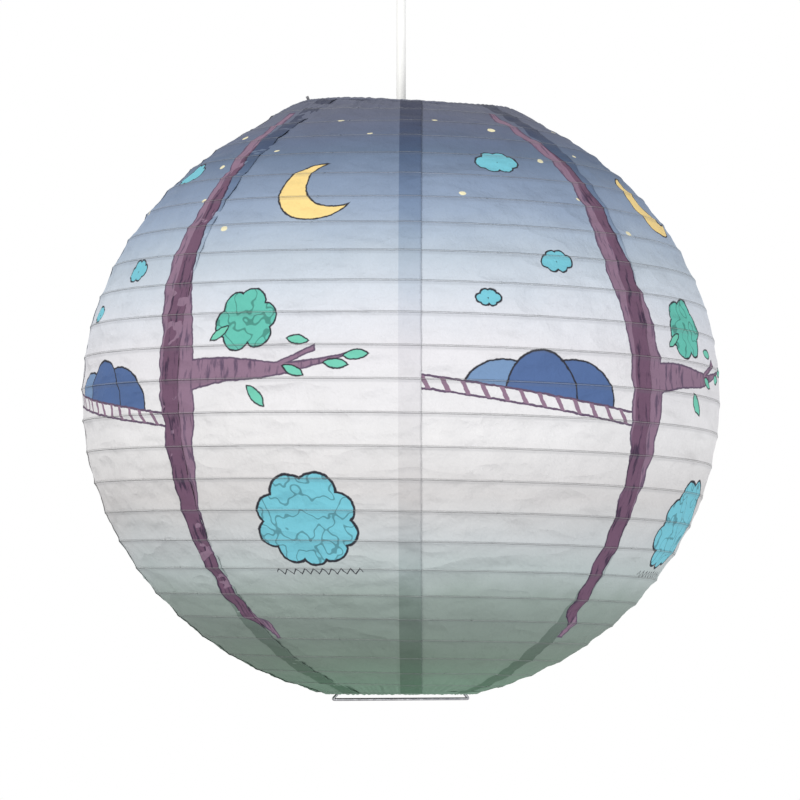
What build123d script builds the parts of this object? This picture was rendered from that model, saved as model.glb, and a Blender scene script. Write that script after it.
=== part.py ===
from build123d import *

import math
import os

# Round paper pendant lantern: a lap-seamed paper globe on one spiral rib, stretched by a sprung
# wire frame, hung from a corded screw lampholder and a ceiling cup.
#
# Millimetres, +Z up. The origin is the centre of the ceiling plate's top face, so everything hangs
# at negative Z. The wire frame lies in the XZ plane.
#

os.makedirs("parts", exist_ok=True)

# ---- Globe ---------------------------------------------------------------------------------
GLOBE_DIAMETER = 400.0  # outside the paper, at the equator
GLOBE_POLAR_DIAMETER = 381.0  # the globe's height if its two mouths were closed
GLOBE_CENTRE_Z = -314.0
TOP_MOUTH_DIAMETER = 139.6
BOTTOM_MOUTH_DIAMETER = 99.4
PAPER_THICKNESS = 0.3
GORE_COUNT = 8
LAP_WIDTH = 13.5  # how far each gore covers the next one
LAP_JOG = 0.8  # the step that lifts the lap on to the next gore
GLUE_GAP = 0.02
FIRST_SEAM_DEG = -117.5

# ---- Wires of the globe --------------------------------------------------------------------
RIB_DIAMETER = 1.3
RIB_PITCH = 19.8  # along the paper, from one turn to the next
RIB_EQUATOR_DEG = -117.0  # where a turn crosses the equator
RIB_TO_PAPER = 0.3
RIB_END_MARGIN = 10.0  # along the paper, from the rib's last turn to a mouth
RIB_ARCS_PER_TURN = 8
RING_DIAMETER = 2.0
RING_INSET = 2.8  # from a mouth's edge in to the middle of its ring
RING_DROP = 0.5  # from a mouth's edge along Z to the middle of its ring
HEM_GAP = 0.15
HEM_THICKNESS = 0.3
HEM_TURN_DEG = 200.0

# ---- Wire frame ----------------------------------------------------------------------------
FRAME_WIRE = 1.8
NOTCH_GAP = 0.3  # between a notch and the hem that it holds
NOTCH_BULGE = 3.0  # how far a notch's shoulder stands out past the wire beside the ring
NOTCH_SHOULDER = 4.6  # from the ring to the shoulder that bears on it
NOTCH_FLAT = 1.2  # half the straight stretch beside a ring
NOTCH_RUN = 14.0  # from a ring to the straight leg
NOTCH_BACK = 1.4  # how far the leg sits inside the wire beside the ring
NOTCH_RADIUS = 1.5
TIP_HEIGHT = 4.4  # from the top ring to the cut end of the leg
TIP_LEAN = 1.7
BAR_DROP = 4.9  # from the bottom ring to the cross bar
BAR_OVERHANG = 3.7  # how far the bar's corner stands out past the wire beside the ring
ARM_WIRE = 1.8
ARM_EYE_GAP = 0.3

# ---- Lampholder ----------------------------------------------------------------------------
HOLDER_FLANGE_HEIGHT = 137.5  # underside of the holder's flange, above the globe's centre
HOLDER_FLANGE_LIP = 3.5  # how far the flange stands out past the skirt
HOLDER_FLANGE_THICKNESS = 2.5
SKIRT_RADIUS = 19.0
SKIRT_LENGTH = 37.0
SKIRT_WALL = 2.0
THREAD_DEPTH = 0.5
THREAD_PITCH = 3.0
THREAD_START = 5.0  # from the flange to the first ridge
CLAMP_GAP = 0.05
NUT_RIM = 7.0  # how far the nut's rim stands out past the skirt
NUT_BARREL = 4.0  # how far its barrel stands out past the skirt
NUT_HEIGHT = 9.0
NUT_FLANGE = 2.4
NUT_RUNNING_GAP = 0.1
NUT_GRIP_COUNT = 24
NUT_GRIP_RADIUS = 1.0
CAP_GAP = 0.1
CAP_WALL = 2.0
CAP_STRAIGHT = 12.0
CAP_DOME = 12.0
NIPPLE_RADIUS = 6.8
NIPPLE_LENGTH = 12.0
CLAMP_SCREW_RADIUS = 1.5
CLAMP_SCREW_HEAD_RADIUS = 2.8
CLAMP_SCREW_HEAD = 1.8
CARRIER_LENGTH = 20.0
CARRIER_GAP = 0.2
CARRIER_WALL = 2.75
CARRIER_FLOOR = 3.2
SHELL_GAP = 0.15
SHELL_WALL = 0.4
SHELL_LENGTH = 21.0
CONTACT_THICKNESS = 0.5
CONTACT_SPAN = 9.0
TERMINAL_SIZE = 6.0
TERMINAL_SPACING = 13.0

# ---- Bulb ----------------------------------------------------------------------------------
BULB_TO_SHELL = 0.3
BULB_CAP_LENGTH = 22.0
BULB_CAP_WALL = 0.5
BULB_THREAD_RADIUS = 0.9
BULB_THREAD_COUNT = 5
BULB_THREAD_START = 0.3  # share of the base's length down to its first ridge
BULB_THREAD_STEP = 0.12  # share of the base's length from ridge to ridge
BULB_INSULATOR_HEIGHT = 2.4
BULB_TIP_RADIUS = 4.4
BULB_TIP_HEIGHT = 1.6
BULB_TIP_TO_CONTACT = 0.3
BULB_COLLAR_RADIUS = 14.0
BULB_SHOULDER_RADIUS = 20.0
BULB_COLLAR_LENGTH = 30.0
BULB_TO_SKIRT = 1.0
BULB_GLOBE_RADIUS = 30.0
BULB_WALL = 1.4
BULB_JOINT = 0.05

# ---- Cord ----------------------------------------------------------------------------------
CORD_DIAMETER = 6.0
CORD_TAIL = 3.0  # above the point that the cord swings about
CORD_TO_CORES = 1.2  # clear of the cord's end as it tips
CORD_RUN_IN = 1.0  # from the dome's inside down to the cord's lower end
CORE_DIAMETER = 2.2
CORE_SPACING = 2.9
CORE_BEND = 5.0
CORE_STRAIGHT = 0.25  # share of a core's height before it spreads
CORE_REACH = 0.6  # share of a terminal's height that a core reaches to
CORE_SPREAD = 0.7  # share of its height by which it has spread
CORD_GAP = 0.1

# ---- Ceiling cup ---------------------------------------------------------------------------
CUP_RADIUS = 48.0
CUP_BASE_RADIUS = 27.0
CUP_HEIGHT = 46.0
CUP_WALL = 2.0
CUP_TOP_GAP = 0.5  # from the cup's rim up to the ceiling
CUP_BEVEL = 0.25  # share of the cup's spread left above its slope
CUP_SLOPE_Z = 0.72  # share of the cup's height, down to the top of its slope
CUP_SIDE_Z = 0.45  # share of the cup's height, down to the foot of its straight side
GRIP_RADIUS = 8.5
GRIP_LENGTH = 12.0
GRIP_SPIGOT_RADIUS = 6.5
GRIP_SPIGOT_LENGTH = 12.0
GRIP_THROAT_GAP = 0.35
GRIP_MOUTH_RADIUS = 6.2
GRIP_NECK = 1.0  # half the height of the throat's narrow part
GRIP_TOP_MOUTH_RADIUS = 5.6
GRIP_NUT_RADIUS = 10.0
GRIP_NUT_HEIGHT = 4.0
GRIP_GAP = 0.1
PLATE_WIDTH = 24.0
PLATE_THICKNESS = 1.5
PLATE_EDGE_GAP = 1.0  # from the plate's tabs to the cup's wall
TAB_HEIGHT = 14.0
SCREW_SPACING = 56.0
SCREW_HOLE_RADIUS = 2.3
SIDE_SCREW_RADIUS = 2.0
SIDE_SCREW_GAP = 0.1
SIDE_SCREW_HEAD_RADIUS = 4.5
SIDE_SCREW_HEAD = 4.0
SIDE_SCREW_TAIL = 3.0
SIDE_SCREW_Z = -8.5
SLOT_WIDTH = 1.0
SLOT_DEPTH = 0.8
BLOCK_LENGTH = 24.0
BLOCK_WIDTH = 15.0
BLOCK_HEIGHT = 12.0
BLOCK_DROP = 0.1  # from the plate to the terminal block
BLOCK_WAYS = 2
BLOCK_BORE_RADIUS = 2.0
BLOCK_SCREW_RADIUS = 1.8
BLOCK_SCREW_LENGTH = 3.0

# ---- Worked out from the above -------------------------------------------------------------
EQUATOR_RADIUS = GLOBE_DIAMETER / 2
POLAR_RADIUS = GLOBE_POLAR_DIAMETER / 2
TOP_RING_RADIUS = TOP_MOUTH_DIAMETER / 2 - RING_INSET
BOTTOM_RING_RADIUS = BOTTOM_MOUTH_DIAMETER / 2 - RING_INSET
TOP_EDGE_Z = GLOBE_CENTRE_Z + POLAR_RADIUS * math.sqrt(1 - (TOP_MOUTH_DIAMETER / GLOBE_DIAMETER) ** 2)
BOTTOM_EDGE_Z = GLOBE_CENTRE_Z - POLAR_RADIUS * math.sqrt(
    1 - (BOTTOM_MOUTH_DIAMETER / GLOBE_DIAMETER) ** 2
)
TOP_RING_Z = TOP_EDGE_Z - RING_DROP
BOTTOM_RING_Z = BOTTOM_EDGE_Z + RING_DROP
HEM_RADIUS = RING_DIAMETER / 2 + HEM_GAP + HEM_THICKNESS
WIRE_TO_RING = HEM_RADIUS + NOTCH_GAP + FRAME_WIRE / 2

HOLDER_FLANGE_RADIUS = SKIRT_RADIUS + HOLDER_FLANGE_LIP
NUT_RADIUS = SKIRT_RADIUS + NUT_RIM
NUT_BARREL_RADIUS = SKIRT_RADIUS + NUT_BARREL
HOLDER_FLANGE_Z = GLOBE_CENTRE_Z + HOLDER_FLANGE_HEIGHT
ARM_Z = HOLDER_FLANGE_Z - CLAMP_GAP - ARM_WIRE / 2
NUT_TOP_Z = ARM_Z - ARM_WIRE / 2 - CLAMP_GAP
SKIRT_MOUTH_Z = HOLDER_FLANGE_Z - SKIRT_LENGTH
SKIRT_BORE_RADIUS = SKIRT_RADIUS - SKIRT_WALL
SKIRT_TOP_Z = HOLDER_FLANGE_Z + HOLDER_FLANGE_THICKNESS
CAP_RADIUS = HOLDER_FLANGE_RADIUS
CAP_BASE_Z = SKIRT_TOP_Z + CAP_GAP
CAP_SHOULDER_Z = CAP_BASE_Z + CAP_STRAIGHT
CAP_TOP_Z = CAP_SHOULDER_Z + CAP_DOME
NIPPLE_TOP_Z = CAP_TOP_Z + NIPPLE_LENGTH
CARRIER_RADIUS = SKIRT_BORE_RADIUS - CARRIER_GAP
CARRIER_TOP_Z = SKIRT_TOP_Z
CARRIER_BASE_Z = CARRIER_TOP_Z - CARRIER_LENGTH
SHELL_RADIUS = CARRIER_RADIUS - CARRIER_WALL - SHELL_GAP
SHELL_TOP_Z = CARRIER_TOP_Z - CARRIER_FLOOR
CONTACT_Z = SHELL_TOP_Z - SHELL_GAP - CONTACT_THICKNESS
BULB_TOP_Z = CONTACT_Z - BULB_TIP_TO_CONTACT
BULB_CAP_RADIUS = SHELL_RADIUS - SHELL_WALL - BULB_TO_SHELL
BULB_CAP_TOP_Z = BULB_TOP_Z - BULB_TIP_HEIGHT - BULB_INSULATOR_HEIGHT
BULB_CAP_BASE_Z = BULB_CAP_TOP_Z - BULB_CAP_LENGTH
BULB_COLLAR_BASE_Z = BULB_CAP_BASE_Z - BULB_COLLAR_LENGTH
BULB_GLOBE_Z = BULB_COLLAR_BASE_Z - math.sqrt(BULB_GLOBE_RADIUS**2 - BULB_SHOULDER_RADIUS**2)

CUP_BASE_Z = -CUP_HEIGHT
GRIP_MOUTH_Z = CUP_BASE_Z - GRIP_LENGTH
SWING_Z = CUP_BASE_Z  # the height that the cord swings about
CORD_TOP_Z = SWING_Z + CORD_TAIL
CORD_BOTTOM_Z = CAP_TOP_Z - CAP_WALL - CORD_RUN_IN
GRIP_TOP_Z = CUP_BASE_Z + CUP_WALL + GRIP_SPIGOT_LENGTH
THROAT_RADIUS = CORD_DIAMETER / 2 + GRIP_THROAT_GAP
TAB_OUTER_X = math.sqrt((CUP_RADIUS - CUP_WALL - PLATE_EDGE_GAP) ** 2 - (PLATE_WIDTH / 2) ** 2)
BLOCK_TOP_Z = -PLATE_THICKNESS - BLOCK_DROP


# ---- Small makers --------------------------------------------------------------------------
def rod(radius, low, high):
    """Upright rod between two heights."""
    return Pos(0, 0, (low + high) / 2) * Cylinder(radius, high - low)


def tube(outer, inner, low, high):
    """Upright tube between two heights."""
    return rod(outer, low, high) - rod(inner, low - 1, high + 1)


def turned(points):
    """Solid turned about Z from a closed (radius, height) outline."""
    outline = Polyline(*[(r, 0, z) for r, z in points], close=True)
    return revolve(make_face(outline), Axis.Z, 360)


def wire_along(path, diameter):
    """Round wire swept along a path."""
    return sweep(Plane(origin=path @ 0, z_dir=path % 0) * Circle(diameter / 2), path=path)


def side_rod(radius, start_x, end_x, height):
    """Rod along X."""
    middle = Pos((start_x + end_x) / 2, 0, height)
    return middle * Rot(0, 90, 0) * Cylinder(radius, abs(end_x - start_x))


# ---- Paper globe ---------------------------------------------------------------------------
def shell_section(outer_offset, inner_offset):
    """Half section of a shell of the globe, between two offsets from the paper's outer face."""
    outer = Ellipse(EQUATOR_RADIUS + outer_offset, POLAR_RADIUS + outer_offset)
    inner = Ellipse(EQUATOR_RADIUS + inner_offset, POLAR_RADIUS + inner_offset)
    middle = (TOP_EDGE_Z + BOTTOM_EDGE_Z) / 2 - GLOBE_CENTRE_Z
    window = Pos(EQUATOR_RADIUS, middle) * Rectangle(2 * EQUATOR_RADIUS, TOP_EDGE_Z - BOTTOM_EDGE_Z)
    return Plane.XZ * Pos(0, GLOBE_CENTRE_Z) * ((outer - inner) & window)


def seam_strip(outer_offset, inner_offset, low, high):
    """Part of a shell of the globe that lies between two distances from a seam's plane."""
    narrow = min(TOP_MOUTH_DIAMETER, BOTTOM_MOUTH_DIAMETER) / 2
    half_angle = math.degrees(math.asin(LAP_WIDTH / narrow)) + 5
    whole = Rot(0, 0, -half_angle) * revolve(
        shell_section(outer_offset, inner_offset), Axis.Z, 2 * half_angle
    )
    slab = Box(2 * EQUATOR_RADIUS, high - low, 2 * GLOBE_POLAR_DIAMETER)
    return whole & (Pos(EQUATOR_RADIUS, (low + high) / 2, GLOBE_CENTRE_Z) * slab)


def paper_gore(index):
    """One gore with the lap that it glues over the next gore."""
    step = 360 / GORE_COUNT
    over = GLUE_GAP + PAPER_THICKNESS
    sheet = revolve(shell_section(0, -PAPER_THICKNESS), Axis.Z, step)
    jog = seam_strip(over, -PAPER_THICKNESS, -LAP_JOG, 0)
    lap = seam_strip(over, GLUE_GAP, 0, LAP_WIDTH)
    whole = Rot(0, 0, -step) * sheet + jog + lap
    return Rot(0, 0, FIRST_SEAM_DEG + index * step) * whole


def spiral_rib():
    """One wire wound round the inside of the paper, as a chain of arcs that fall as they turn."""
    inset = PAPER_THICKNESS + RIB_TO_PAPER + RIB_DIAMETER / 2
    across = EQUATOR_RADIUS - inset
    upright = POLAR_RADIUS - inset
    meridian = EllipticalCenterArc((0, 0), across, upright, 0, arc_size=90)
    lengths = []
    for height in (TOP_EDGE_Z - GLOBE_CENTRE_Z, GLOBE_CENTRE_Z - BOTTOM_EDGE_Z):
        angle = math.degrees(math.asin(height / POLAR_RADIUS))
        to_mouth = EllipticalCenterArc((0, 0), across, upright, 0, arc_size=angle)
        lengths.append(to_mouth.length - RIB_END_MARGIN)
    up, down = lengths

    def on_rib(share):
        """Point at a share of the way down the rib, measured along the meridian."""
        along = up - (up + down) * share
        spot = meridian @ (abs(along) / meridian.length)
        turn = math.radians(RIB_EQUATOR_DEG) - 2 * math.pi * along / RIB_PITCH
        height = math.copysign(spot.Y, along)
        return (spot.X * math.cos(turn), spot.X * math.sin(turn), GLOBE_CENTRE_Z + height)

    count = round((up + down) / RIB_PITCH * RIB_ARCS_PER_TURN)
    arcs = []
    for step in range(count):
        shares = (step / count, (step + 0.5) / count, (step + 1) / count)
        arcs.append(ThreePointArc(*[on_rib(share) for share in shares]))
    return wire_along(Wire(arcs), RIB_DIAMETER)


def ring(radius, height):
    """Wire ring in a mouth of the globe."""
    return Pos(0, 0, height) * Torus(radius, RING_DIAMETER / 2)


def hem(radius, height, upward):
    """Paper turned in over a ring: a band round the ring, open on the far side from the mouth."""
    outer = Circle(HEM_RADIUS)
    inner = Circle(HEM_RADIUS - HEM_THICKNESS)
    opening = 360 - HEM_TURN_DEG
    reach = 3 * HEM_RADIUS
    edge = math.radians(90 - opening / 2)
    away = Polygon(
        (0, 0),
        (reach * math.cos(edge), -reach * math.sin(edge) * upward),
        (0, -2 * reach * upward),
        (-reach * math.cos(edge), -reach * math.sin(edge) * upward),
        align=None,
    )
    band = (outer - inner) - away
    return revolve(Plane.XZ * Pos(radius, height) * band, Axis.Z, 360)


# ---- Wire frame ----------------------------------------------------------------------------
def leg_points():
    """The right leg's wire, from its cut tip down to the cross bar."""
    top = TOP_RING_RADIUS - WIRE_TO_RING
    foot = BOTTOM_RING_RADIUS - WIRE_TO_RING
    return [
        (top + TIP_LEAN, TOP_RING_Z + TIP_HEIGHT),
        (top, TOP_RING_Z + NOTCH_FLAT),
        (top, TOP_RING_Z - NOTCH_FLAT),
        (top + NOTCH_BULGE, TOP_RING_Z - NOTCH_SHOULDER),
        (top - NOTCH_BACK, TOP_RING_Z - NOTCH_RUN),
        (foot - NOTCH_BACK, BOTTOM_RING_Z + NOTCH_RUN),
        (foot + NOTCH_BULGE, BOTTOM_RING_Z + NOTCH_SHOULDER),
        (foot, BOTTOM_RING_Z + NOTCH_FLAT),
        (foot, BOTTOM_RING_Z - NOTCH_FLAT),
        (foot + BAR_OVERHANG, BOTTOM_RING_Z - BAR_DROP),
    ]


def leg_x(height):
    """Where the straight part of the right leg is at a height."""
    points = leg_points()
    (high_x, high_z), (low_x, low_z) = points[4], points[5]
    return low_x + (high_x - low_x) * (height - low_z) / (high_z - low_z)


def frame_loop():
    """One sprung wire: up one side, across the bottom and up the other."""
    right = leg_points()
    left = [(-x, z) for x, z in reversed(right)]
    path = FilletPolyline(*[(x, 0, z) for x, z in right + left], radius=NOTCH_RADIUS)
    return wire_along(path, FRAME_WIRE)


def frame_arm():
    """Cross arm: a ring that the lampholder clamps, with an eye round each leg of the frame."""
    ring_radius = (HOLDER_FLANGE_RADIUS + SKIRT_RADIUS + THREAD_DEPTH) / 2
    eye_radius = FRAME_WIRE / 2 + ARM_EYE_GAP + ARM_WIRE / 2
    eye_x = leg_x(ARM_Z)
    arm = Rot(0, 0, 90) * Torus(ring_radius, ARM_WIRE / 2)
    for side in (0, 180):
        half = side_rod(ARM_WIRE / 2, ring_radius, eye_x - eye_radius, 0)
        half += Pos(eye_x, 0, 0) * Rot(0, 0, 90) * Torus(eye_radius, ARM_WIRE / 2)
        arm += Rot(0, 0, side) * half
    return Pos(0, 0, ARM_Z) * arm


# ---- Lampholder ----------------------------------------------------------------------------
def holder_body():
    """Flanged tube with a threaded skirt."""
    body = rod(SKIRT_RADIUS, SKIRT_MOUTH_Z, SKIRT_TOP_Z)
    body += rod(HOLDER_FLANGE_RADIUS, HOLDER_FLANGE_Z, SKIRT_TOP_Z)
    ridge_z = HOLDER_FLANGE_Z - THREAD_START
    while ridge_z > SKIRT_MOUTH_Z + THREAD_PITCH:
        body += turned(
            [
                (SKIRT_RADIUS - THREAD_DEPTH, ridge_z + THREAD_PITCH / 2),
                (SKIRT_RADIUS + THREAD_DEPTH, ridge_z),
                (SKIRT_RADIUS - THREAD_DEPTH, ridge_z - THREAD_PITCH / 2),
            ]
        )
        ridge_z -= THREAD_PITCH
    return body - rod(SKIRT_BORE_RADIUS, SKIRT_MOUTH_Z - 1, SKIRT_TOP_Z + 1)


def shade_nut():
    """Ring that screws up the skirt and clamps the frame's cross arm under the flange."""
    base = NUT_TOP_Z - NUT_HEIGHT
    bore = SKIRT_RADIUS + THREAD_DEPTH + NUT_RUNNING_GAP
    nut = tube(NUT_RADIUS, bore, NUT_TOP_Z - NUT_FLANGE, NUT_TOP_Z)
    nut += tube(NUT_BARREL_RADIUS, bore, base, NUT_TOP_Z - NUT_FLANGE)
    for step in range(NUT_GRIP_COUNT):
        groove = Pos(NUT_RADIUS, 0, NUT_TOP_Z) * Cylinder(NUT_GRIP_RADIUS, 4 * NUT_FLANGE)
        nut -= Rot(0, 0, step * 360 / NUT_GRIP_COUNT) * groove
    return nut


def holder_cap():
    """Domed cap with the nipple that the cord comes in by."""
    nipple_bore = CORD_DIAMETER / 2 + CORD_GAP
    outer = turned(
        [
            (0, CAP_BASE_Z),
            (CAP_RADIUS, CAP_BASE_Z),
            (CAP_RADIUS, CAP_SHOULDER_Z),
            (NIPPLE_RADIUS, CAP_TOP_Z),
            (NIPPLE_RADIUS, NIPPLE_TOP_Z),
            (0, NIPPLE_TOP_Z),
        ]
    )
    hollow = turned(
        [
            (0, CAP_BASE_Z - 1),
            (CAP_RADIUS - CAP_WALL, CAP_BASE_Z - 1),
            (CAP_RADIUS - CAP_WALL, CAP_SHOULDER_Z - CAP_WALL / 2),
            (nipple_bore, CAP_TOP_Z - CAP_WALL),
            (nipple_bore, NIPPLE_TOP_Z + 1),
            (0, NIPPLE_TOP_Z + 1),
        ]
    )
    height = NIPPLE_TOP_Z - NIPPLE_LENGTH / 2
    hole = side_rod(CLAMP_SCREW_RADIUS + CORD_GAP, 0, NIPPLE_RADIUS + 1, height)
    return outer - hollow - hole


def clamp_screw():
    """Set screw through the nipple that bites on the cord."""
    height = NIPPLE_TOP_Z - NIPPLE_LENGTH / 2
    head_x = NIPPLE_RADIUS + CORD_GAP
    shank = side_rod(CLAMP_SCREW_RADIUS, CORD_DIAMETER / 2 + CORD_GAP, head_x, height)
    head = side_rod(CLAMP_SCREW_HEAD_RADIUS, head_x, head_x + CLAMP_SCREW_HEAD, height)
    slot = Pos(head_x + CLAMP_SCREW_HEAD, 0, height) * Box(2 * SLOT_DEPTH, 8, SLOT_WIDTH)
    return shank + head - slot


def contact_carrier():
    """Insulating cup that holds the screw shell, with its terminals' pockets in its top."""
    carrier = rod(CARRIER_RADIUS, CARRIER_BASE_Z, CARRIER_TOP_Z)
    carrier -= rod(CARRIER_RADIUS - CARRIER_WALL, CARRIER_BASE_Z - 1, CARRIER_TOP_Z - CARRIER_FLOOR)
    for side in (1, -1):
        wire_hole = rod(CORE_DIAMETER / 2 + CORD_GAP, CARRIER_BASE_Z, CARRIER_TOP_Z + 1)
        carrier -= Pos(side * TERMINAL_SPACING / 2, TERMINAL_SIZE, 0) * wire_hole
    return carrier


def screw_shell():
    """Brass shell that the bulb screws into."""
    low = SHELL_TOP_Z - SHELL_LENGTH
    return tube(SHELL_RADIUS, SHELL_RADIUS - SHELL_WALL, low, SHELL_TOP_Z - SHELL_GAP)


def centre_contact():
    """Brass tongue over the bulb's tip."""
    plate = Box(CONTACT_SPAN, CONTACT_SPAN / 2, CONTACT_THICKNESS)
    return Pos(0, 0, CONTACT_Z + CONTACT_THICKNESS / 2) * plate


def holder_terminals():
    """Two brass terminals on the carrier, each with its screw hole."""
    terminals = []
    for side in (1, -1):
        block = Box(TERMINAL_SIZE, TERMINAL_SIZE, TERMINAL_SIZE)
        block = Pos(side * TERMINAL_SPACING / 2, 0, CARRIER_TOP_Z + CAP_GAP + TERMINAL_SIZE / 2) * block
        mouth = rod(CORE_DIAMETER / 2 + CORD_GAP, CARRIER_TOP_Z + TERMINAL_SIZE / 2, CARRIER_TOP_Z + 20)
        terminals.append(block - Pos(side * TERMINAL_SPACING / 2, 0, 0) * mouth)
    return Compound(children=terminals)


# ---- Bulb ----------------------------------------------------------------------------------
def bulb_cap():
    """Metal screw base."""
    barrel = BULB_CAP_RADIUS - BULB_THREAD_RADIUS
    cap = rod(barrel, BULB_CAP_BASE_Z, BULB_CAP_TOP_Z)
    for step in range(BULB_THREAD_COUNT):
        share = BULB_THREAD_START + BULB_THREAD_STEP * step
        ridge_z = BULB_CAP_TOP_Z - BULB_CAP_LENGTH * share
        cap += Pos(0, 0, ridge_z) * Torus(barrel, BULB_THREAD_RADIUS)
    return cap - rod(barrel - BULB_CAP_WALL, BULB_CAP_BASE_Z - 1, BULB_CAP_TOP_Z + 1)


def bulb_insulator():
    """Glass bead between the base and its tip."""
    radius = BULB_CAP_RADIUS - BULB_THREAD_RADIUS
    low = BULB_CAP_TOP_Z + BULB_JOINT
    high = low + BULB_INSULATOR_HEIGHT
    return turned([(0, low), (radius, low), (BULB_TIP_RADIUS, high), (0, high)])


def bulb_tip():
    """Contact button."""
    low = BULB_CAP_TOP_Z + BULB_INSULATOR_HEIGHT + 2 * BULB_JOINT
    return rod(BULB_TIP_RADIUS, low, BULB_TOP_Z)


def bulb_collar():
    """Plastic body that widens from the base to the globe."""
    low = BULB_COLLAR_BASE_Z
    high = BULB_CAP_BASE_Z - BULB_JOINT
    neck = SKIRT_MOUTH_Z - BULB_TO_SKIRT
    outer = [
        (0, low),
        (BULB_SHOULDER_RADIUS, low),
        (BULB_COLLAR_RADIUS, neck),
        (BULB_COLLAR_RADIUS, high),
        (0, high),
    ]
    wall = 2 * BULB_WALL
    inner = [
        (0, low - 1),
        (BULB_SHOULDER_RADIUS - wall, low - 1),
        (BULB_SHOULDER_RADIUS - wall, low),
        (BULB_COLLAR_RADIUS - wall, neck - wall / 2),
        (BULB_COLLAR_RADIUS - wall, high - wall),
        (0, high - wall),
    ]
    return turned(outer) - turned(inner)


def bulb_globe():
    """Opal globe, open at the collar."""
    centre = Pos(0, 0, BULB_GLOBE_Z)
    shell = centre * Sphere(BULB_GLOBE_RADIUS) - centre * Sphere(BULB_GLOBE_RADIUS - BULB_WALL)
    top = BULB_COLLAR_BASE_Z - BULB_JOINT
    return shell - rod(BULB_GLOBE_RADIUS + 1, top, top + 2 * BULB_GLOBE_RADIUS)


# ---- Cord ----------------------------------------------------------------------------------
def pendant_cord():
    """Taut cord from the grip in the cup down to the lampholder."""
    return rod(CORD_DIAMETER / 2, CORD_BOTTOM_Z, CORD_TOP_Z)


def core_pair(start_z, end_z, spread):
    """Two cores that leave the cord side by side and spread to their terminals."""
    direction = math.copysign(1, end_z - start_z)
    cores = []
    for side in (1, -1):
        path = FilletPolyline(
            (side * CORE_SPACING / 2, 0, start_z),
            (side * CORE_SPACING / 2, 0, start_z + direction * abs(end_z - start_z) * CORE_STRAIGHT),
            (side * spread, 0, start_z + direction * abs(end_z - start_z) * CORE_SPREAD),
            (side * spread, 0, end_z),
            radius=CORE_BEND,
        )
        cores.append(wire_along(path, CORE_DIAMETER))
    return Compound(children=cores)


# ---- Ceiling cup ---------------------------------------------------------------------------
def ceiling_cup():
    """Spun cup that covers the wiring, with a hole for the cord grip and one for each screw."""
    bevel = (CUP_RADIUS - CUP_BASE_RADIUS) * CUP_BEVEL
    outer = [
        (0, CUP_BASE_Z),
        (CUP_BASE_RADIUS, CUP_BASE_Z),
        (CUP_RADIUS - bevel, CUP_BASE_Z * CUP_SLOPE_Z),
        (CUP_RADIUS, CUP_BASE_Z * CUP_SIDE_Z),
        (CUP_RADIUS, -CUP_TOP_GAP),
        (0, -CUP_TOP_GAP),
    ]
    inner = [
        (0, CUP_BASE_Z + CUP_WALL),
        (CUP_BASE_RADIUS - CUP_WALL / 3, CUP_BASE_Z + CUP_WALL),
        (CUP_RADIUS - bevel - CUP_WALL, CUP_BASE_Z * CUP_SLOPE_Z + CUP_WALL / 2),
        (CUP_RADIUS - CUP_WALL, CUP_BASE_Z * CUP_SIDE_Z),
        (CUP_RADIUS - CUP_WALL, 1),
        (0, 1),
    ]
    cup = turned(outer) - turned(inner)
    cup -= rod(GRIP_SPIGOT_RADIUS + GRIP_GAP, CUP_BASE_Z - 1, CUP_BASE_Z + CUP_WALL + 1)
    reach = CUP_RADIUS + 5
    return cup - side_rod(SIDE_SCREW_RADIUS + SIDE_SCREW_GAP, -reach, reach, SIDE_SCREW_Z)


def ceiling_plate():
    """Strip that screws to the ceiling, with a tab turned down at each end for the cup's screws."""
    plate = Pos(0, 0, -PLATE_THICKNESS / 2) * Box(2 * TAB_OUTER_X, PLATE_WIDTH, PLATE_THICKNESS)
    for side in (1, -1):
        tab = Box(PLATE_THICKNESS, PLATE_WIDTH, TAB_HEIGHT)
        plate += Pos(side * (TAB_OUTER_X - PLATE_THICKNESS / 2), 0, -TAB_HEIGHT / 2) * tab
        plate -= Pos(side * SCREW_SPACING / 2, 0, 0) * rod(SCREW_HOLE_RADIUS, -5, 1)
    return plate - side_rod(SIDE_SCREW_RADIUS + SIDE_SCREW_GAP, -CUP_RADIUS, CUP_RADIUS, SIDE_SCREW_Z)


def side_screw(side):
    """Knurled screw that holds the cup to a tab of the plate."""
    head_x = CUP_RADIUS + SIDE_SCREW_GAP
    tail_x = TAB_OUTER_X - PLATE_THICKNESS - SIDE_SCREW_TAIL
    shank = side_rod(SIDE_SCREW_RADIUS, tail_x, head_x, SIDE_SCREW_Z)
    head = side_rod(SIDE_SCREW_HEAD_RADIUS, head_x, head_x + SIDE_SCREW_HEAD, SIDE_SCREW_Z)
    slot = Box(2 * SLOT_DEPTH, 3 * SIDE_SCREW_HEAD_RADIUS, SLOT_WIDTH)
    screw = shank + head - Pos(head_x + SIDE_SCREW_HEAD, 0, SIDE_SCREW_Z) * slot
    return screw if side > 0 else Rot(0, 0, 180) * screw


def cord_grip():
    """Gland body: a threaded spigot through the cup, with a throat that flares for the cord."""
    shank_z = CUP_BASE_Z - GRIP_GAP
    grip = rod(GRIP_SPIGOT_RADIUS, shank_z, GRIP_TOP_Z) + rod(GRIP_RADIUS, GRIP_MOUTH_Z, shank_z)
    throat = turned(
        [
            (0, GRIP_MOUTH_Z - 1),
            (GRIP_MOUTH_RADIUS, GRIP_MOUTH_Z - 1),
            (THROAT_RADIUS, SWING_Z - GRIP_NECK),
            (THROAT_RADIUS, SWING_Z + GRIP_NECK),
            (GRIP_TOP_MOUTH_RADIUS, GRIP_TOP_Z + 1),
            (0, GRIP_TOP_Z + 1),
        ]
    )
    return grip - throat


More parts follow.
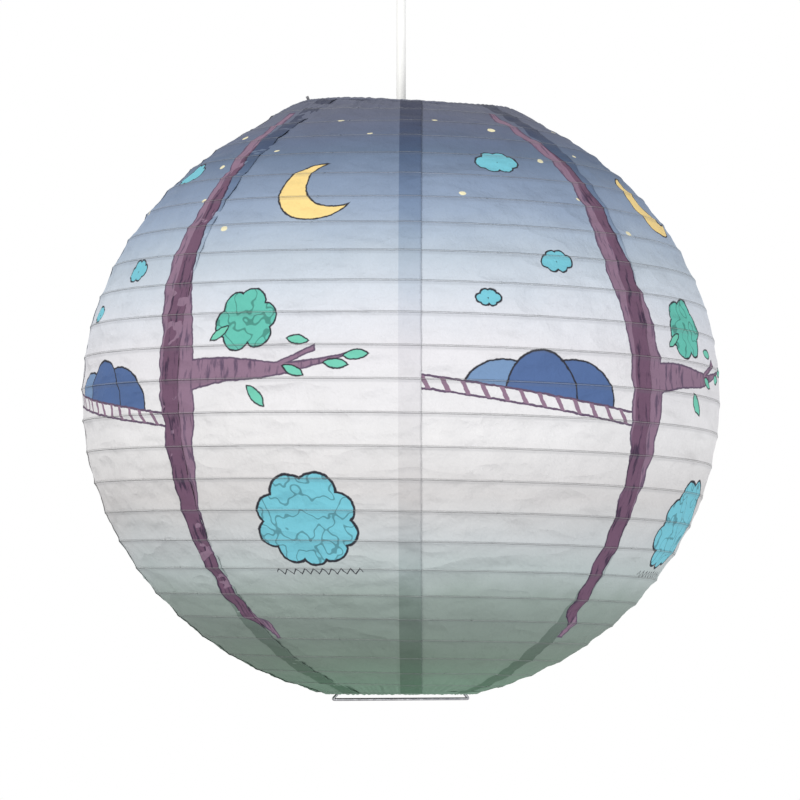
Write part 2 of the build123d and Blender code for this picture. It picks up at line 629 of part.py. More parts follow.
def grip_nut():
    """Nut that holds the grip in the cup."""
    low = CUP_BASE_Z + CUP_WALL + GRIP_GAP
    flats = Pos(0, 0, low) * extrude(RegularPolygon(GRIP_NUT_RADIUS, 6), GRIP_NUT_HEIGHT)
    return flats - rod(GRIP_SPIGOT_RADIUS + GRIP_GAP, low - 1, low + GRIP_NUT_HEIGHT + 1)


def way_y(index):
    """Where a way of the terminal block is along its length."""
    return (index - (BLOCK_WAYS - 1) / 2) * BLOCK_LENGTH / BLOCK_WAYS


def terminal_block():
    """Two-way block under the plate, bored through for the cores."""
    middle = BLOCK_TOP_Z - BLOCK_HEIGHT / 2
    block = Pos(0, 0, middle) * Box(BLOCK_LENGTH, BLOCK_WIDTH, BLOCK_HEIGHT)
    for index in range(BLOCK_WAYS):
        block -= Pos(way_y(index), 0, 0) * rod(BLOCK_BORE_RADIUS, BLOCK_TOP_Z - BLOCK_HEIGHT - 1, middle)
        pocket = Pos(way_y(index), BLOCK_WIDTH / 2, middle) * Rot(90, 0, 0)
        block -= pocket * Cylinder(BLOCK_SCREW_RADIUS + GRIP_GAP, 2 * BLOCK_SCREW_LENGTH)
    return block


def terminal_screws():
    """One clamping screw in each way of the block."""
    middle = BLOCK_TOP_Z - BLOCK_HEIGHT / 2
    screws = []
    for index in range(BLOCK_WAYS):
        place = Pos(way_y(index), (BLOCK_WIDTH - BLOCK_SCREW_LENGTH) / 2, middle) * Rot(90, 0, 0)
        screws.append(place * Cylinder(BLOCK_SCREW_RADIUS, BLOCK_SCREW_LENGTH - 2 * GRIP_GAP))
    return Compound(children=screws)


# ---- Assembly ------------------------------------------------------------------------------
ceiling_core_top = BLOCK_TOP_Z - BLOCK_HEIGHT * CORE_REACH
holder_core_base = CARRIER_TOP_Z + CAP_GAP + TERMINAL_SIZE * CORE_REACH
nodes = {
    "ceiling_plate": ceiling_plate(),
    "terminal_block": terminal_block(),
    "terminal_screws": terminal_screws(),
    "ceiling_cup": ceiling_cup(),
    "cup_screw_left": side_screw(-1),
    "cup_screw_right": side_screw(1),
    "cord_grip": cord_grip(),
    "grip_nut": grip_nut(),
    "ceiling_cores": core_pair(CORD_TOP_Z + CORD_TO_CORES, ceiling_core_top, way_y(1)),
    "pendant_cord": pendant_cord(),
    "holder_cores": core_pair(CORD_BOTTOM_Z - CORD_GAP, holder_core_base, TERMINAL_SPACING / 2),
    "holder_cap": holder_cap(),
    "clamp_screw": clamp_screw(),
    "holder_terminals": holder_terminals(),
    "contact_carrier": contact_carrier(),
    "screw_shell": screw_shell(),
    "centre_contact": centre_contact(),
    "holder_body": holder_body(),
    "shade_nut": shade_nut(),
    "bulb_tip": bulb_tip(),
    "bulb_insulator": bulb_insulator(),
    "bulb_cap": bulb_cap(),
    "bulb_collar": bulb_collar(),
    "bulb_globe": bulb_globe(),
    "frame_loop": frame_loop(),
    "frame_arm": frame_arm(),
    "top_ring": ring(TOP_RING_RADIUS, TOP_RING_Z),
    "top_hem": hem(TOP_RING_RADIUS, TOP_RING_Z, 1),
    "bottom_ring": ring(BOTTOM_RING_RADIUS, BOTTOM_RING_Z),
    "bottom_hem": hem(BOTTOM_RING_RADIUS, BOTTOM_RING_Z, -1),
    "spiral_rib": spiral_rib(),
}
for gore_index in range(GORE_COUNT):
    nodes[f"paper_gore_{gore_index + 1}"] = paper_gore(gore_index)

for name, solid in nodes.items():
    export_step(solid, f"parts/{name}.step")
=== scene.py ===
"""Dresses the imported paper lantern: crinkled printed paper gores, hems, wires, cord and fittings."""

from __future__ import annotations

import bisect
import logging
import math
from dataclasses import dataclass, field
from enum import Enum
from typing import Iterable, Sequence

import bmesh
import bpy
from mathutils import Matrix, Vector, noise


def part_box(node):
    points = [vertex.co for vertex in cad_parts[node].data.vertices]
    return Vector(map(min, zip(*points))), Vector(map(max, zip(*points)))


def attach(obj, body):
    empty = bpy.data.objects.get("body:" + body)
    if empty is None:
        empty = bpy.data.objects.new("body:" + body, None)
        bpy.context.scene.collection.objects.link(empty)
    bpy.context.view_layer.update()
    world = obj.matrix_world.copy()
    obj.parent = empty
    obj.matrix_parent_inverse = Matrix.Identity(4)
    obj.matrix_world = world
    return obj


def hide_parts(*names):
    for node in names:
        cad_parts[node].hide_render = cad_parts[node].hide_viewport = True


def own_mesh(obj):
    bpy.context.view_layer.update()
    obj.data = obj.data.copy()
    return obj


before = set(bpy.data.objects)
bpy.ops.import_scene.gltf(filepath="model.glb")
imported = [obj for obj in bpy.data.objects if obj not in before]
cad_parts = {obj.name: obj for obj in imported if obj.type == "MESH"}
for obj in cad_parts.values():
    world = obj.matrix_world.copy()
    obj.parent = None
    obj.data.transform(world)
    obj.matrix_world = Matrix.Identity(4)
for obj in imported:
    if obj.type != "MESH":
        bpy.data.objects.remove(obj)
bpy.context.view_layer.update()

log = logging.getLogger("lantern")
RGB = tuple[float, float, float]
Spot = tuple[float, float]
Socket, Node, NodeTree = bpy.types.NodeSocket, bpy.types.Node, bpy.types.NodeTree
Material, Piece, Shape = bpy.types.Material, bpy.types.Object, bmesh.types.BMesh

FRONT_DEG = -117.0  # the side of the lantern that faces the camera
CENTRE_Z = -0.314  # height of the globe's centre
MM = 0.001


class Half(Enum):
    """Halves of the print's repeat; each gore carries one of them."""

    LEFT = "left"
    RIGHT = "right"


class Body(str, Enum):
    """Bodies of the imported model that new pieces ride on."""

    ROOT = "root"
    CORD = "cord"
    LAMP = "lamp"
    TOP_HOOP = "top_hoop"


# ---- Small helpers -------------------------------------------------------------------------
def srgb(red: float, green: float, blue: float) -> RGB:
    """Linear colour of a display colour, whose values run from 0 to 255."""
    shares = (red / 255, green / 255, blue / 255)
    return tuple(s / 12.92 if s <= 0.04045 else ((s + 0.055) / 1.055) ** 2.4 for s in shares)


def smooth_step(low: float, high: float, value: float) -> float:
    """Share from 0 to 1 of the way from low to high, eased at both ends."""
    share = min(max((value - low) / (high - low), 0.0), 1.0)
    return share * share * (3 - 2 * share)


def placed(name: str, data: bpy.types.ID) -> Piece:
    """Puts an object with this data into the scene."""
    piece = bpy.data.objects.new(name, data)
    bpy.context.scene.collection.objects.link(piece)
    return piece


def object_from(name: str, shape: Shape, material: Material) -> Piece:
    """Makes a scene object from a finished bmesh, which it frees.

    Args:
        name: The piece's name.
        shape: The finished bmesh.
        material: The piece's material.

    Returns:
        The new object, at the origin.
    """
    mesh = bpy.data.meshes.new(name)
    shape.to_mesh(mesh)
    shape.free()
    mesh.materials.append(material)
    return placed(name, mesh)


def spun(profile: Sequence[Spot], steps: int) -> Shape:
    """Turns an open (radius, height) profile round Z.

    Args:
        profile: Points of the profile, in metres.
        steps: Faces round the full turn.

    Returns:
        The turned surface, with its doubles merged and its faces pointing outwards.
    """
    shape = bmesh.new()
    verts = [shape.verts.new((radius, 0, height)) for radius, height in profile]
    edges = [shape.edges.new(pair) for pair in zip(verts, verts[1:])]
    turn = {"cent": (0, 0, 0), "axis": (0, 0, 1), "angle": 2 * math.pi, "steps": steps, "use_merge": True}
    bmesh.ops.spin(shape, geom=verts + edges, **turn)
    bmesh.ops.remove_doubles(shape, verts=shape.verts, dist=1e-6)
    bmesh.ops.recalc_face_normals(shape, faces=shape.faces)
    return shape


def rounded(corners: Sequence[Spot], radius: float, steps: int) -> list[Spot]:
    """Rounds the inner corners of an open profile.

    Args:
        corners: Points of the profile.
        radius: How far from each corner its round starts.
        steps: Straight pieces in each round.

    Returns:
        The profile with its rounds.
    """
    points = [corners[0]]
    for before, corner, after in zip(corners, corners[1:], corners[2:]):
        here = Vector(corner)
        back = Vector(before) - here
        ahead = Vector(after) - here
        reach = min(radius, back.length * 0.45, ahead.length * 0.45)
        start = here + back.normalized() * reach
        end = here + ahead.normalized() * reach
        for step in range(steps + 1):
            share = step / steps
            spot = start.lerp(here, share).lerp(here.lerp(end, share), share)
            points.append((spot.x, spot.y))
    points.append(corners[-1])
    return points


def smooth(piece: Piece) -> None:
    """Shades a piece's faces smooth."""
    piece.data.polygons.foreach_set("use_smooth", [True] * len(piece.data.polygons))


def thicken(piece: Piece, thickness: float, offset: float = -1.0) -> None:
    """Gives a surface a wall; an offset of -1 puts it inside and 0 on both sides."""
    wall = piece.modifiers.new("thickness", "SOLIDIFY")
    wall.thickness = thickness
    wall.offset = offset


# ---- Node building -------------------------------------------------------------------------
@dataclass
class Wiring:
    """Adds nodes to a tree and links them.

    Attributes:
        tree: The tree that the nodes go into.
    """

    tree: NodeTree

    def add(self, kind: str, **settings: object) -> Node:
        """Adds a node and sets its properties."""
        node = self.tree.nodes.new(kind)
        for name, value in settings.items():
            setattr(node, name, value)
        return node

    def feed(self, socket: Socket, value: object) -> None:
        """Links a socket to another, or sets its value."""
        if isinstance(value, Socket):
            self.tree.links.new(value, socket)
        elif isinstance(value, (int, float)):
            socket.default_value = value
        else:
            size = len(socket.default_value)
            socket.default_value = tuple(value)[:size] + (1.0,) * (size - len(tuple(value)))

    def math(self, operation: str, *values: object, clamp: bool = False) -> Socket:
        """Does one sum and returns its result."""
        node = self.add("ShaderNodeMath", operation=operation, use_clamp=clamp)
        for socket, value in zip(node.inputs, values):
            self.feed(socket, value)
        return node.outputs[0]

    def plus(self, first: object, second: object) -> Socket:
        """Adds two values."""
        return self.math("ADD", first, second)

    def minus(self, first: object, second: object) -> Socket:
        """Takes the second value from the first."""
        return self.math("SUBTRACT", first, second)

    def times(self, first: object, second: object) -> Socket:
        """Multiplies two values."""
        return self.math("MULTIPLY", first, second)

    def line(self, value: object, slope: object, start: object) -> Socket:
        """A value times a slope, plus a start."""
        return self.math("MULTIPLY_ADD", value, slope, start)

    def off(self, value: object, middle: object) -> Socket:
        """How far a value is from a middle."""
        return self.math("ABSOLUTE", self.minus(value, middle))

    def most(self, *values: object) -> Socket:
        """The largest of several values."""
        whole = values[0]
        for value in values[1:]:
            whole = self.math("MAXIMUM", whole, value)
        return whole

    def split(self, vector: object) -> bpy.types.NodeOutputs:
        """X, Y and Z of a vector."""
        node = self.add("ShaderNodeSeparateXYZ")
        self.feed(node.inputs[0], vector)
        return node.outputs

    def stretched(self, vector: object, factors: object) -> Socket:
        """Scales a vector along X, Y and Z."""
        node = self.add("ShaderNodeVectorMath", operation="MULTIPLY")
        self.feed(node.inputs[0], vector)
        self.feed(node.inputs[1], factors)
        return node.outputs[0]

    def grey(self, level: object) -> Socket:
        """A grey of this level."""
        node = self.add("ShaderNodeCombineColor")
        for socket in node.inputs:
            self.feed(socket, level)
        return node.outputs[0]

    def fade(
        self, value: object, low: float, high: float, to_low: float = 0.0, to_high: float = 1.0
    ) -> Socket:
        """Eases a value from to_low at low to to_high at high."""
        node = self.add("ShaderNodeMapRange", interpolation_type="SMOOTHSTEP")
        for socket, entry in zip(node.inputs, (value, low, high, to_low, to_high)):
            self.feed(socket, entry)
        return node.outputs[0]

    def mix(self, factor: object, first: object, second: object, blend: str = "MIX") -> Socket:
        """Mixes two colours."""
        node = self.add("ShaderNodeMix", data_type="RGBA", blend_type=blend, clamp_factor=True)
        self.feed(node.inputs["Factor"], factor)
        self.feed(node.inputs[6], first)
        self.feed(node.inputs[7], second)
        return node.outputs[2]

    def grain(self, vector: object, scale: float, detail: float = 3.0, rough: float = 0.55) -> Socket:
        """Noise from 0 to 1."""
        node = self.add("ShaderNodeTexNoise")
        self.feed(node.inputs["Vector"], vector)
        self.feed(node.inputs["Scale"], scale)
        self.feed(node.inputs["Detail"], detail)
        self.feed(node.inputs["Roughness"], rough)
        return node.outputs["Fac"]

    def ramp(self, value: object, stops: Sequence[tuple[float, RGB]]) -> Socket:
        """Colour ramp with linear stops."""
        node = self.add("ShaderNodeValToRGB")
        self.feed(node.inputs[0], value)
        elements = node.color_ramp.elements
        while len(elements) > 1:
            elements.remove(elements[-1])
        for index, (position, colour) in enumerate(stops):
            element = elements[0] if index == 0 else elements.new(position)
            element.position = position
            element.color = (*colour, 1.0)
        return node.outputs[0]

    def curve(self, value: object, points: Sequence[Spot]) -> Socket:
        """Float curve through points whose x and y lie from 0 to 1."""
        node = self.add("ShaderNodeFloatCurve")
        self.feed(node.inputs["Value"], value)
        spline = node.mapping.curves[0]
        while len(spline.points) < len(points):
            spline.points.new(0.5, 0.5)
        for point, (across, up) in zip(spline.points, points):
            point.location = (across, up)
        node.mapping.update()
        return node.outputs[0]


def new_group(
    name: str, inputs: dict[str, tuple[str, object]], outputs: dict[str, str]
) -> tuple[NodeTree, Wiring, Node, Node]:
    """Starts a shader node group.

    Args:
        name: The group's name.
        inputs: Socket type and starting value for each input.
        outputs: Socket type for each output.

    Returns:
        The tree, its wiring, its input node and its output node.
    """
    tree = bpy.data.node_groups.new(name, "ShaderNodeTree")
    for label, (kind, value) in inputs.items():
        socket = tree.interface.new_socket(label, in_out="INPUT", socket_type=kind)
        if value is not None:
            socket.default_value = value
    for label, kind in outputs.items():
        tree.interface.new_socket(label, in_out="OUTPUT", socket_type=kind)
    wiring = Wiring(tree)
    return tree, wiring, wiring.add("NodeGroupInput"), wiring.add("NodeGroupOutput")


def new_material(name: str) -> tuple[Material, Wiring, Node]:
    """Starts a material.

    Args:
        name: The material's name.

    Returns:
        The material, its wiring and its main shader.
    """
    material = bpy.data.materials.new(name)
    material.use_nodes = True
    shader = next(node for node in material.node_tree.nodes if node.type == "BSDF_PRINCIPLED")
    return material, Wiring(material.node_tree), shader


FLOAT, COLOUR, VECTOR = "NodeSocketFloat", "NodeSocketColor", "NodeSocketVector"


def fine_wear_group() -> NodeTree:
    """Mottled colour, uneven roughness and a fine height, for moulded and painted surfaces."""
    tree, wire, inside, out = new_group(
        "fine_wear",
        {
            "Vector": (VECTOR, None),
            "Base": (COLOUR, (0.8, 0.8, 0.8, 1)),
            "Mottle": (FLOAT, 0.06),
            "Roughness": (FLOAT, 0.4),
            "Spread": (FLOAT, 0.1),
            "Scale": (FLOAT, 60.0),
        },
        {"Colour": COLOUR, "Roughness": FLOAT, "Height": FLOAT},
    )
    broad = wire.grain(inside.outputs["Vector"], inside.outputs["Scale"], 4.0)
    fine_scale = wire.times(inside.outputs["Scale"], 22.0)
    fine = wire.grain(inside.outputs["Vector"], fine_scale, 2.0)
    darken = wire.times(wire.fade(broad, 0.35, 0.75), inside.outputs["Mottle"])
    shade = wire.grey(wire.minus(1.0, darken))
    wire.feed(out.inputs["Colour"], wire.mix(1.0, inside.outputs["Base"], shade, "MULTIPLY"))
    rough = wire.line(wire.minus(broad, 0.5), inside.outputs["Spread"], inside.outputs["Roughness"])
    wire.feed(out.inputs["Roughness"], rough)
    wire.feed(out.inputs["Height"], fine)
    return tree


def drawn_wire_group() -> NodeTree:
    """Streaked colour and roughness of drawn or turned metal."""
    tree, wire, inside, out = new_group(
        "drawn_metal",
        {
            "Vector": (VECTOR, None),
            "Base": (COLOUR, (0.7, 0.7, 0.7, 1)),
            "Roughness": (FLOAT, 0.3),
            "Stretch": (VECTOR, (400.0, 400.0, 20.0)),
        },
        {"Colour": COLOUR, "Roughness": FLOAT, "Height": FLOAT},
    )
    streak = wire.grain(wire.stretched(inside.outputs["Vector"], inside.outputs["Stretch"]), 1.0, 3.0)
    spots = wire.grain(inside.outputs["Vector"], 90.0, 4.0)
    dull = wire.mix(wire.fade(spots, 0.5, 0.85, 0.0, 0.45), inside.outputs["Base"], srgb(112, 108, 104))
    bright = wire.mix(wire.fade(streak, 0.3, 0.8, 0.0, 0.25), dull, srgb(235, 235, 235))
    wire.feed(out.inputs["Colour"], bright)
    rough = wire.line(wire.minus(spots, 0.4), 0.35, inside.outputs["Roughness"])
    wire.feed(out.inputs["Roughness"], rough)
    wire.feed(out.inputs["Height"], streak)
    return tree


class Recipe(Enum):
    """How a finish's surface varies."""

    MOULDED = "moulded"
    DRAWN = "drawn"


@dataclass(frozen=True)
class Finish:
    """A solid finish for a moulded, painted, metal or glass piece.

    Attributes:
        name: Material name.
        colour: Linear base colour.
        recipe: Which surface group it uses.
        roughness: Middle roughness.
        metallic: 1 for bare metal.
        mottle: How much the colour darkens in patches.
        bump: Depth of the fine height, in metres.
        coat: Clear coat weight.
        transmission: Share of light let through.
        stretch: Scale of a drawn metal's streaks along X, Y and Z.
    """

    name: str
    colour: RGB
    recipe: Recipe = Recipe.MOULDED
    roughness: float = 0.35
    metallic: float = 0.0
    mottle: float = 0.06
    bump: float = 0.00002
    coat: float = 0.0
    transmission: float = 0.0
    stretch: tuple[float, float, float] = (400.0, 400.0, 20.0)

    def build(self, groups: dict[Recipe, NodeTree]) -> Material:
        """Makes the material.

        Args:
            groups: The shared surface groups.

        Returns:
            The finished material.
        """
        material, wire, shader = new_material(self.name)
        place = wire.add("ShaderNodeTexCoord").outputs["Object"]
        group = wire.add("ShaderNodeGroup", node_tree=groups[self.recipe])
        wire.feed(group.inputs["Vector"], place)
        wire.feed(group.inputs["Base"], (*self.colour, 1.0))
        wire.feed(group.inputs["Roughness"], self.roughness)
        if self.recipe is Recipe.MOULDED:
            wire.feed(group.inputs["Mottle"], self.mottle)
        else:
            wire.feed(group.inputs["Stretch"], self.stretch)
        wire.feed(shader.inputs["Base Color"], group.outputs["Colour"])
        wire.feed(shader.inputs["Roughness"], group.outputs["Roughness"])
        bump = wire.add("ShaderNodeBump")
        bump.inputs["Distance"].default_value = self.bump
        wire.feed(bump.inputs["Height"], group.outputs["Height"])
        wire.feed(shader.inputs["Normal"], bump.outputs[0])
        shader.inputs["Metallic"].default_value = self.metallic
        shader.inputs["Coat Weight"].default_value = self.coat
        shader.inputs["Transmission Weight"].default_value = self.transmission
        return material


def metal(
    name: str, colour: RGB, roughness: float, stretch: tuple[float, float, float] = (400.0, 400.0, 20.0)
) -> Finish:
    """A bare drawn or turned metal."""
    return Finish(name, colour, Recipe.DRAWN, roughness=roughness, metallic=1.0, stretch=stretch)


# ---- Paper print ---------------------------------------------------------------------------
@dataclass(frozen=True)
class Palette:
    """Colours of the printed paper, as linear values."""

    ink: RGB = srgb(48, 48, 56)
    star: RGB = srgb(246, 238, 200)
    moon: RGB = srgb(250, 222, 150)
    cloud: RGB = srgb(122, 200, 216)
    leaf: RGB = srgb(118, 205, 182)
    crown: RGB = srgb(104, 196, 180)
    bark: RGB = srgb(146, 118, 140)
    bark_dark: RGB = srgb(100, 82, 106)
    hill: RGB = srgb(84, 110, 158)
    hill_light: RGB = srgb(122, 152, 190)


GROUND_STOPS: tuple[tuple[float, RGB], ...] = (
    (-0.243, srgb(124, 154, 135)),
    (-0.200, srgb(126, 144, 132)),
    (-0.164, srgb(138, 152, 145)),
    (-0.142, srgb(154, 168, 162)),
    (-0.119, srgb(188, 198, 198)),
    (-0.098, srgb(202, 206, 208)),
    (-0.070, srgb(214, 212, 212)),
    (-0.030, srgb(232, 231, 232)),
    (0.016, srgb(228, 227, 231)),
    (0.040, srgb(220, 223, 230)),
    (0.060, srgb(206, 214, 224)),
    (0.076, srgb(190, 201, 213)),
    (0.092, srgb(176, 190, 207)),
    (0.107, srgb(158, 174, 196)),
    (0.123, srgb(144, 161, 186)),
    (0.140, srgb(130, 147, 173)),
    (0.160, srgb(108, 125, 151)),
    (0.177, srgb(104, 117, 143)),
    (0.200, srgb(106, 113, 135)),
    (0.226, srgb(108, 112, 130)),
)
RAMP_LOW, RAMP_HIGH = -0.25, 0.25
CELL_DEG = 90.0  # the print repeats every two gores
SKIN_RADIUS = 0.200
SKIN_CURVE = 0.195  # mean radius of the meridian
REPEAT_SHIFT = 100.5  # keeps the count of repeats above 0 and puts the middle of each at a half
FILL_BLUR = 0.00022  # half the blur at the edge of a painted shape, in metres
LINE_BLUR = 0.0003  # half the blur of a drawn line, in metres
WOBBLE = 0.0016  # span of the shake of the drawn lines, in metres
BRUSH = 0.024  # span of the wandering of the wash's edges, in metres


@dataclass
class PrintSheet:
    """Draws the print as signed distances, in metres, from the skin UV map.

    Attributes:
        wire: Wiring of the group that holds the print.
        cell: Degrees from the middle of the repeat.
        arc: Metres along the paper above the equator.
        wobble_u: Sideways shake of the drawn lines, in metres.
        wobble_v: Upward shake of the drawn lines, in metres.
    """

    wire: Wiring
    cell: object
    arc: object
    wobble_u: object
    wobble_v: object

    def local(self, degrees: float, height: float) -> Socket:
        """Flat coordinates in metres round a point of the repeat.

        Args:
            degrees: The point's angle from the middle of the repeat.
            height: The point's distance along the paper above the equator.

        Returns:
            A vector socket with X round the globe and Y up it.
        """
        stretch = math.radians(1) * SKIN_RADIUS * math.cos(height / SKIN_CURVE)
        across = self.wire.times(self.wire.minus(self.cell, degrees), stretch)
        across = self.wire.plus(across, self.wobble_u)
        up = self.wire.plus(self.wire.minus(self.arc, height), self.wobble_v)
        both = self.wire.add("ShaderNodeCombineXYZ")
        self.wire.feed(both.inputs[0], across)
        self.wire.feed(both.inputs[1], up)
        return both.outputs[0]

    def oval(self, place: object, centre: Spot, size: Spot) -> Socket:
        """Signed distance of an oval, in metres.

        Args:
            place: Local coordinates.
            centre: The oval's centre in them, in millimetres.
            size: Its half width and half height, in millimetres.

        Returns:
            The distance socket, below 0 inside.
        """
        node = self.wire.add("ShaderNodeMapping", vector_type="TEXTURE")
        self.wire.feed(node.inputs["Vector"], place)
        node.inputs["Location"].default_value = (centre[0] * MM, centre[1] * MM, 0)
        node.inputs["Scale"].default_value = (size[0] * MM, size[1] * MM, 1)
        length = self.wire.add("ShaderNodeVectorMath", operation="LENGTH")
        self.wire.feed(length.inputs[0], node.outputs[0])
        reach = min(size) * MM
        return self.wire.line(length.outputs["Value"], reach, -reach)

    def union(self, shapes: Iterable[object]) -> Socket:
        """Signed distance of several shapes together."""
        shapes = list(shapes)
        whole = shapes[0]
        for shape in shapes[1:]:
            whole = self.wire.math("MINIMUM", whole, shape)
        return whole

    def puff(
        self, degrees: float, height: float, scale: float, lobes: Sequence[tuple[float, float, float]]
    ) -> Socket:
        """Signed distance of a puffy outline made of round lobes, each a centre and a radius."""
        place = self.local(degrees, height)
        return self.union(
            self.oval(place, (x * scale, y * scale), (r * scale, r * scale)) for x, y, r in lobes
        )

    def fill(self, distance: object, below: object, colour: object) -> Socket:
        """Paints a shape's inside over what is below it."""
        return self.wire.mix(self.wire.fade(distance, FILL_BLUR, -FILL_BLUR), below, colour)

    def outline(self, distance: object, below: object, ink: RGB, width: float = 0.00055) -> Socket:
        """Draws a shape's edge over what is below it."""
        edge = self.wire.math("ABSOLUTE", distance)
        return self.wire.mix(self.wire.fade(edge, width + LINE_BLUR, width - LINE_BLUR), below, ink)

    def drawn(self, shape: object, below: object, colour: object, ink: RGB, width: float = 0.00055) -> Socket:
        """Paints a shape and draws its edge."""
        return self.outline(shape, self.fill(shape, below, colour), ink, width)


# Lobes of the puffs: centre X, centre Y and radius, in millimetres.
CLOUD_LOBES = ((-8, 0, 5), (-3, 4, 5.5), (3.5, 4, 5.5), (9, 0.5, 5), (4, -3, 5), (-3.5, -3, 5))
BUSH_LOBES = (
    (-20, 6, 12), (-8, 18, 13), (9, 19, 13), (21, 7, 12), (24, -9, 10),
    (-24, -9, 10), (-12, -20, 11), (2, -23, 10), (15, -19, 11), (0, 0, 22),
)
CROWN_LOBES = ((-11, 0, 8), (-6, 10, 8.5), (4, 12, 8.5), (12, 4, 8), (9, -6, 8), (-4, -7, 8.5), (1, 2, 10))
STARS = (
    (-21.0, 0.2002, 1.9), (-9.2, 0.1818, 1.5), (11.6, 0.2003, 1.6), (29.7, 0.1893, 2.2), (37.5, 0.1549, 1.9),
    (13.2, 0.1218, 1.9), (42.0, 0.1224, 1.6), (-35.4, 0.1657, 1.5), (-37.6, 0.0985, 2.2), (2.5, 0.093, 1.4),
)
LEAVES = (
    (-17.9, 0.0237, 8.0, -8.0), (-7.7, 0.0143, 8.5, 6.0), (-11.1, 0.0091, 8.5, -6.0),
    (-18.6, 0.0055, 8.0, -22.0), (-25.6, -0.0090, 9.5, -48.0), (-33.0, 0.0290, 8.0, 35.0),
)
CLOUDS = ((23.9, 0.1508, 1.05), (29.9, 0.0738, 0.8), (15.4, 0.049, 0.6))
MOON_AT = (-19.3, 0.127)
MOON_DISC, MOON_BITE = ((2.5, -1), (24, 24)), ((14.5, 5.5), (20.5, 20.5))
BUSH_AT, BUSH_SCALE, CROWN_AT, CROWN_SCALE = (-18.3, -0.085), 0.93, (-28.2, 0.0345), 1.05
# Grass: its place, the gap between blades, their slope, half the line's length and half its width.
GRASS_AT, BLADE_GAP, BLADE_SLOPE, GRASS_HALF, BLADE_HALF = (-17.5, -0.1225), 0.0028, 1.6, 0.027, 0.0006
# Track: its place, its slope, its drop, half its length, its gauge and half the width of its rails.
TRACK_AT, TRACK_SLOPE, TRACK_DROP, TRACK_HALF = (24.0, 0.0), 0.135, 0.0075, 0.076
TRACK_GAUGE, RAIL_HALF = 0.0078, 0.0007
# Ties: the gap between them, their half width, their lean and half the width of their bed.
TIE_GAP, TIE_HALF, TIE_LEAN, BED_HALF = 0.006, 0.0016, 0.55, 0.0038
# Branch: its length, where it ends, its rise and its girth.
BRANCH_LENGTH, BRANCH_END, BRANCH_RISE, BRANCH_THICK = 0.120, 0.118, 0.0165, 0.0105
# Twig: its foot, slope and rise, half its width, its middle and half its length.
TWIG_FOOT, TWIG_SLOPE, TWIG_RISE = 0.068, 0.42, 0.0065
TWIG_HALF, TWIG_MIDDLE, TWIG_REACH = 0.0016, 0.082, 0.015
# Trunk: the span of its lean in degrees, its knobs, its half width and its two ends.
LEAN_SPAN, KNOBS, TRUNK_THICK, TRUNK_FOOT, TRUNK_TOP = 20.0, 0.008, 0.0135, -0.176, 0.218
LEAF_BEND, LEAF_HALF = 1.35, 0.34  # radius of a leaf's edges and half its width, as shares of its length
TRUNK_DEG = -42.6
TRUNK_LEAN = (
    (0.0, 0.95), (0.17, 0.72), (0.2, 0.52), (0.27, 0.46), (0.40, 0.5),
    (0.52, 0.52), (0.67, 0.36), (0.75, 0.38), (0.92, 0.08), (1.0, 0.0),
)
TRUNK_GIRTH = (
    (0.0, 0.0), (0.15, 0.1), (0.19, 0.36), (0.27, 0.40), (0.34, 0.5), (0.44, 0.88),
    (0.52, 1.0), (0.60, 0.88), (0.70, 0.66), (0.80, 0.42), (0.93, 0.2), (0.97, 0.0),
)
BRANCH_SPINE = ((0.0, 0.1), (0.3, 0.42), (0.6, 0.40), (0.8, 0.6), (1.0, 0.95))
BRANCH_GIRTH = ((0.0, 1.0), (0.12, 0.85), (0.45, 0.55), (0.75, 0.22), (1.0, 0.02))


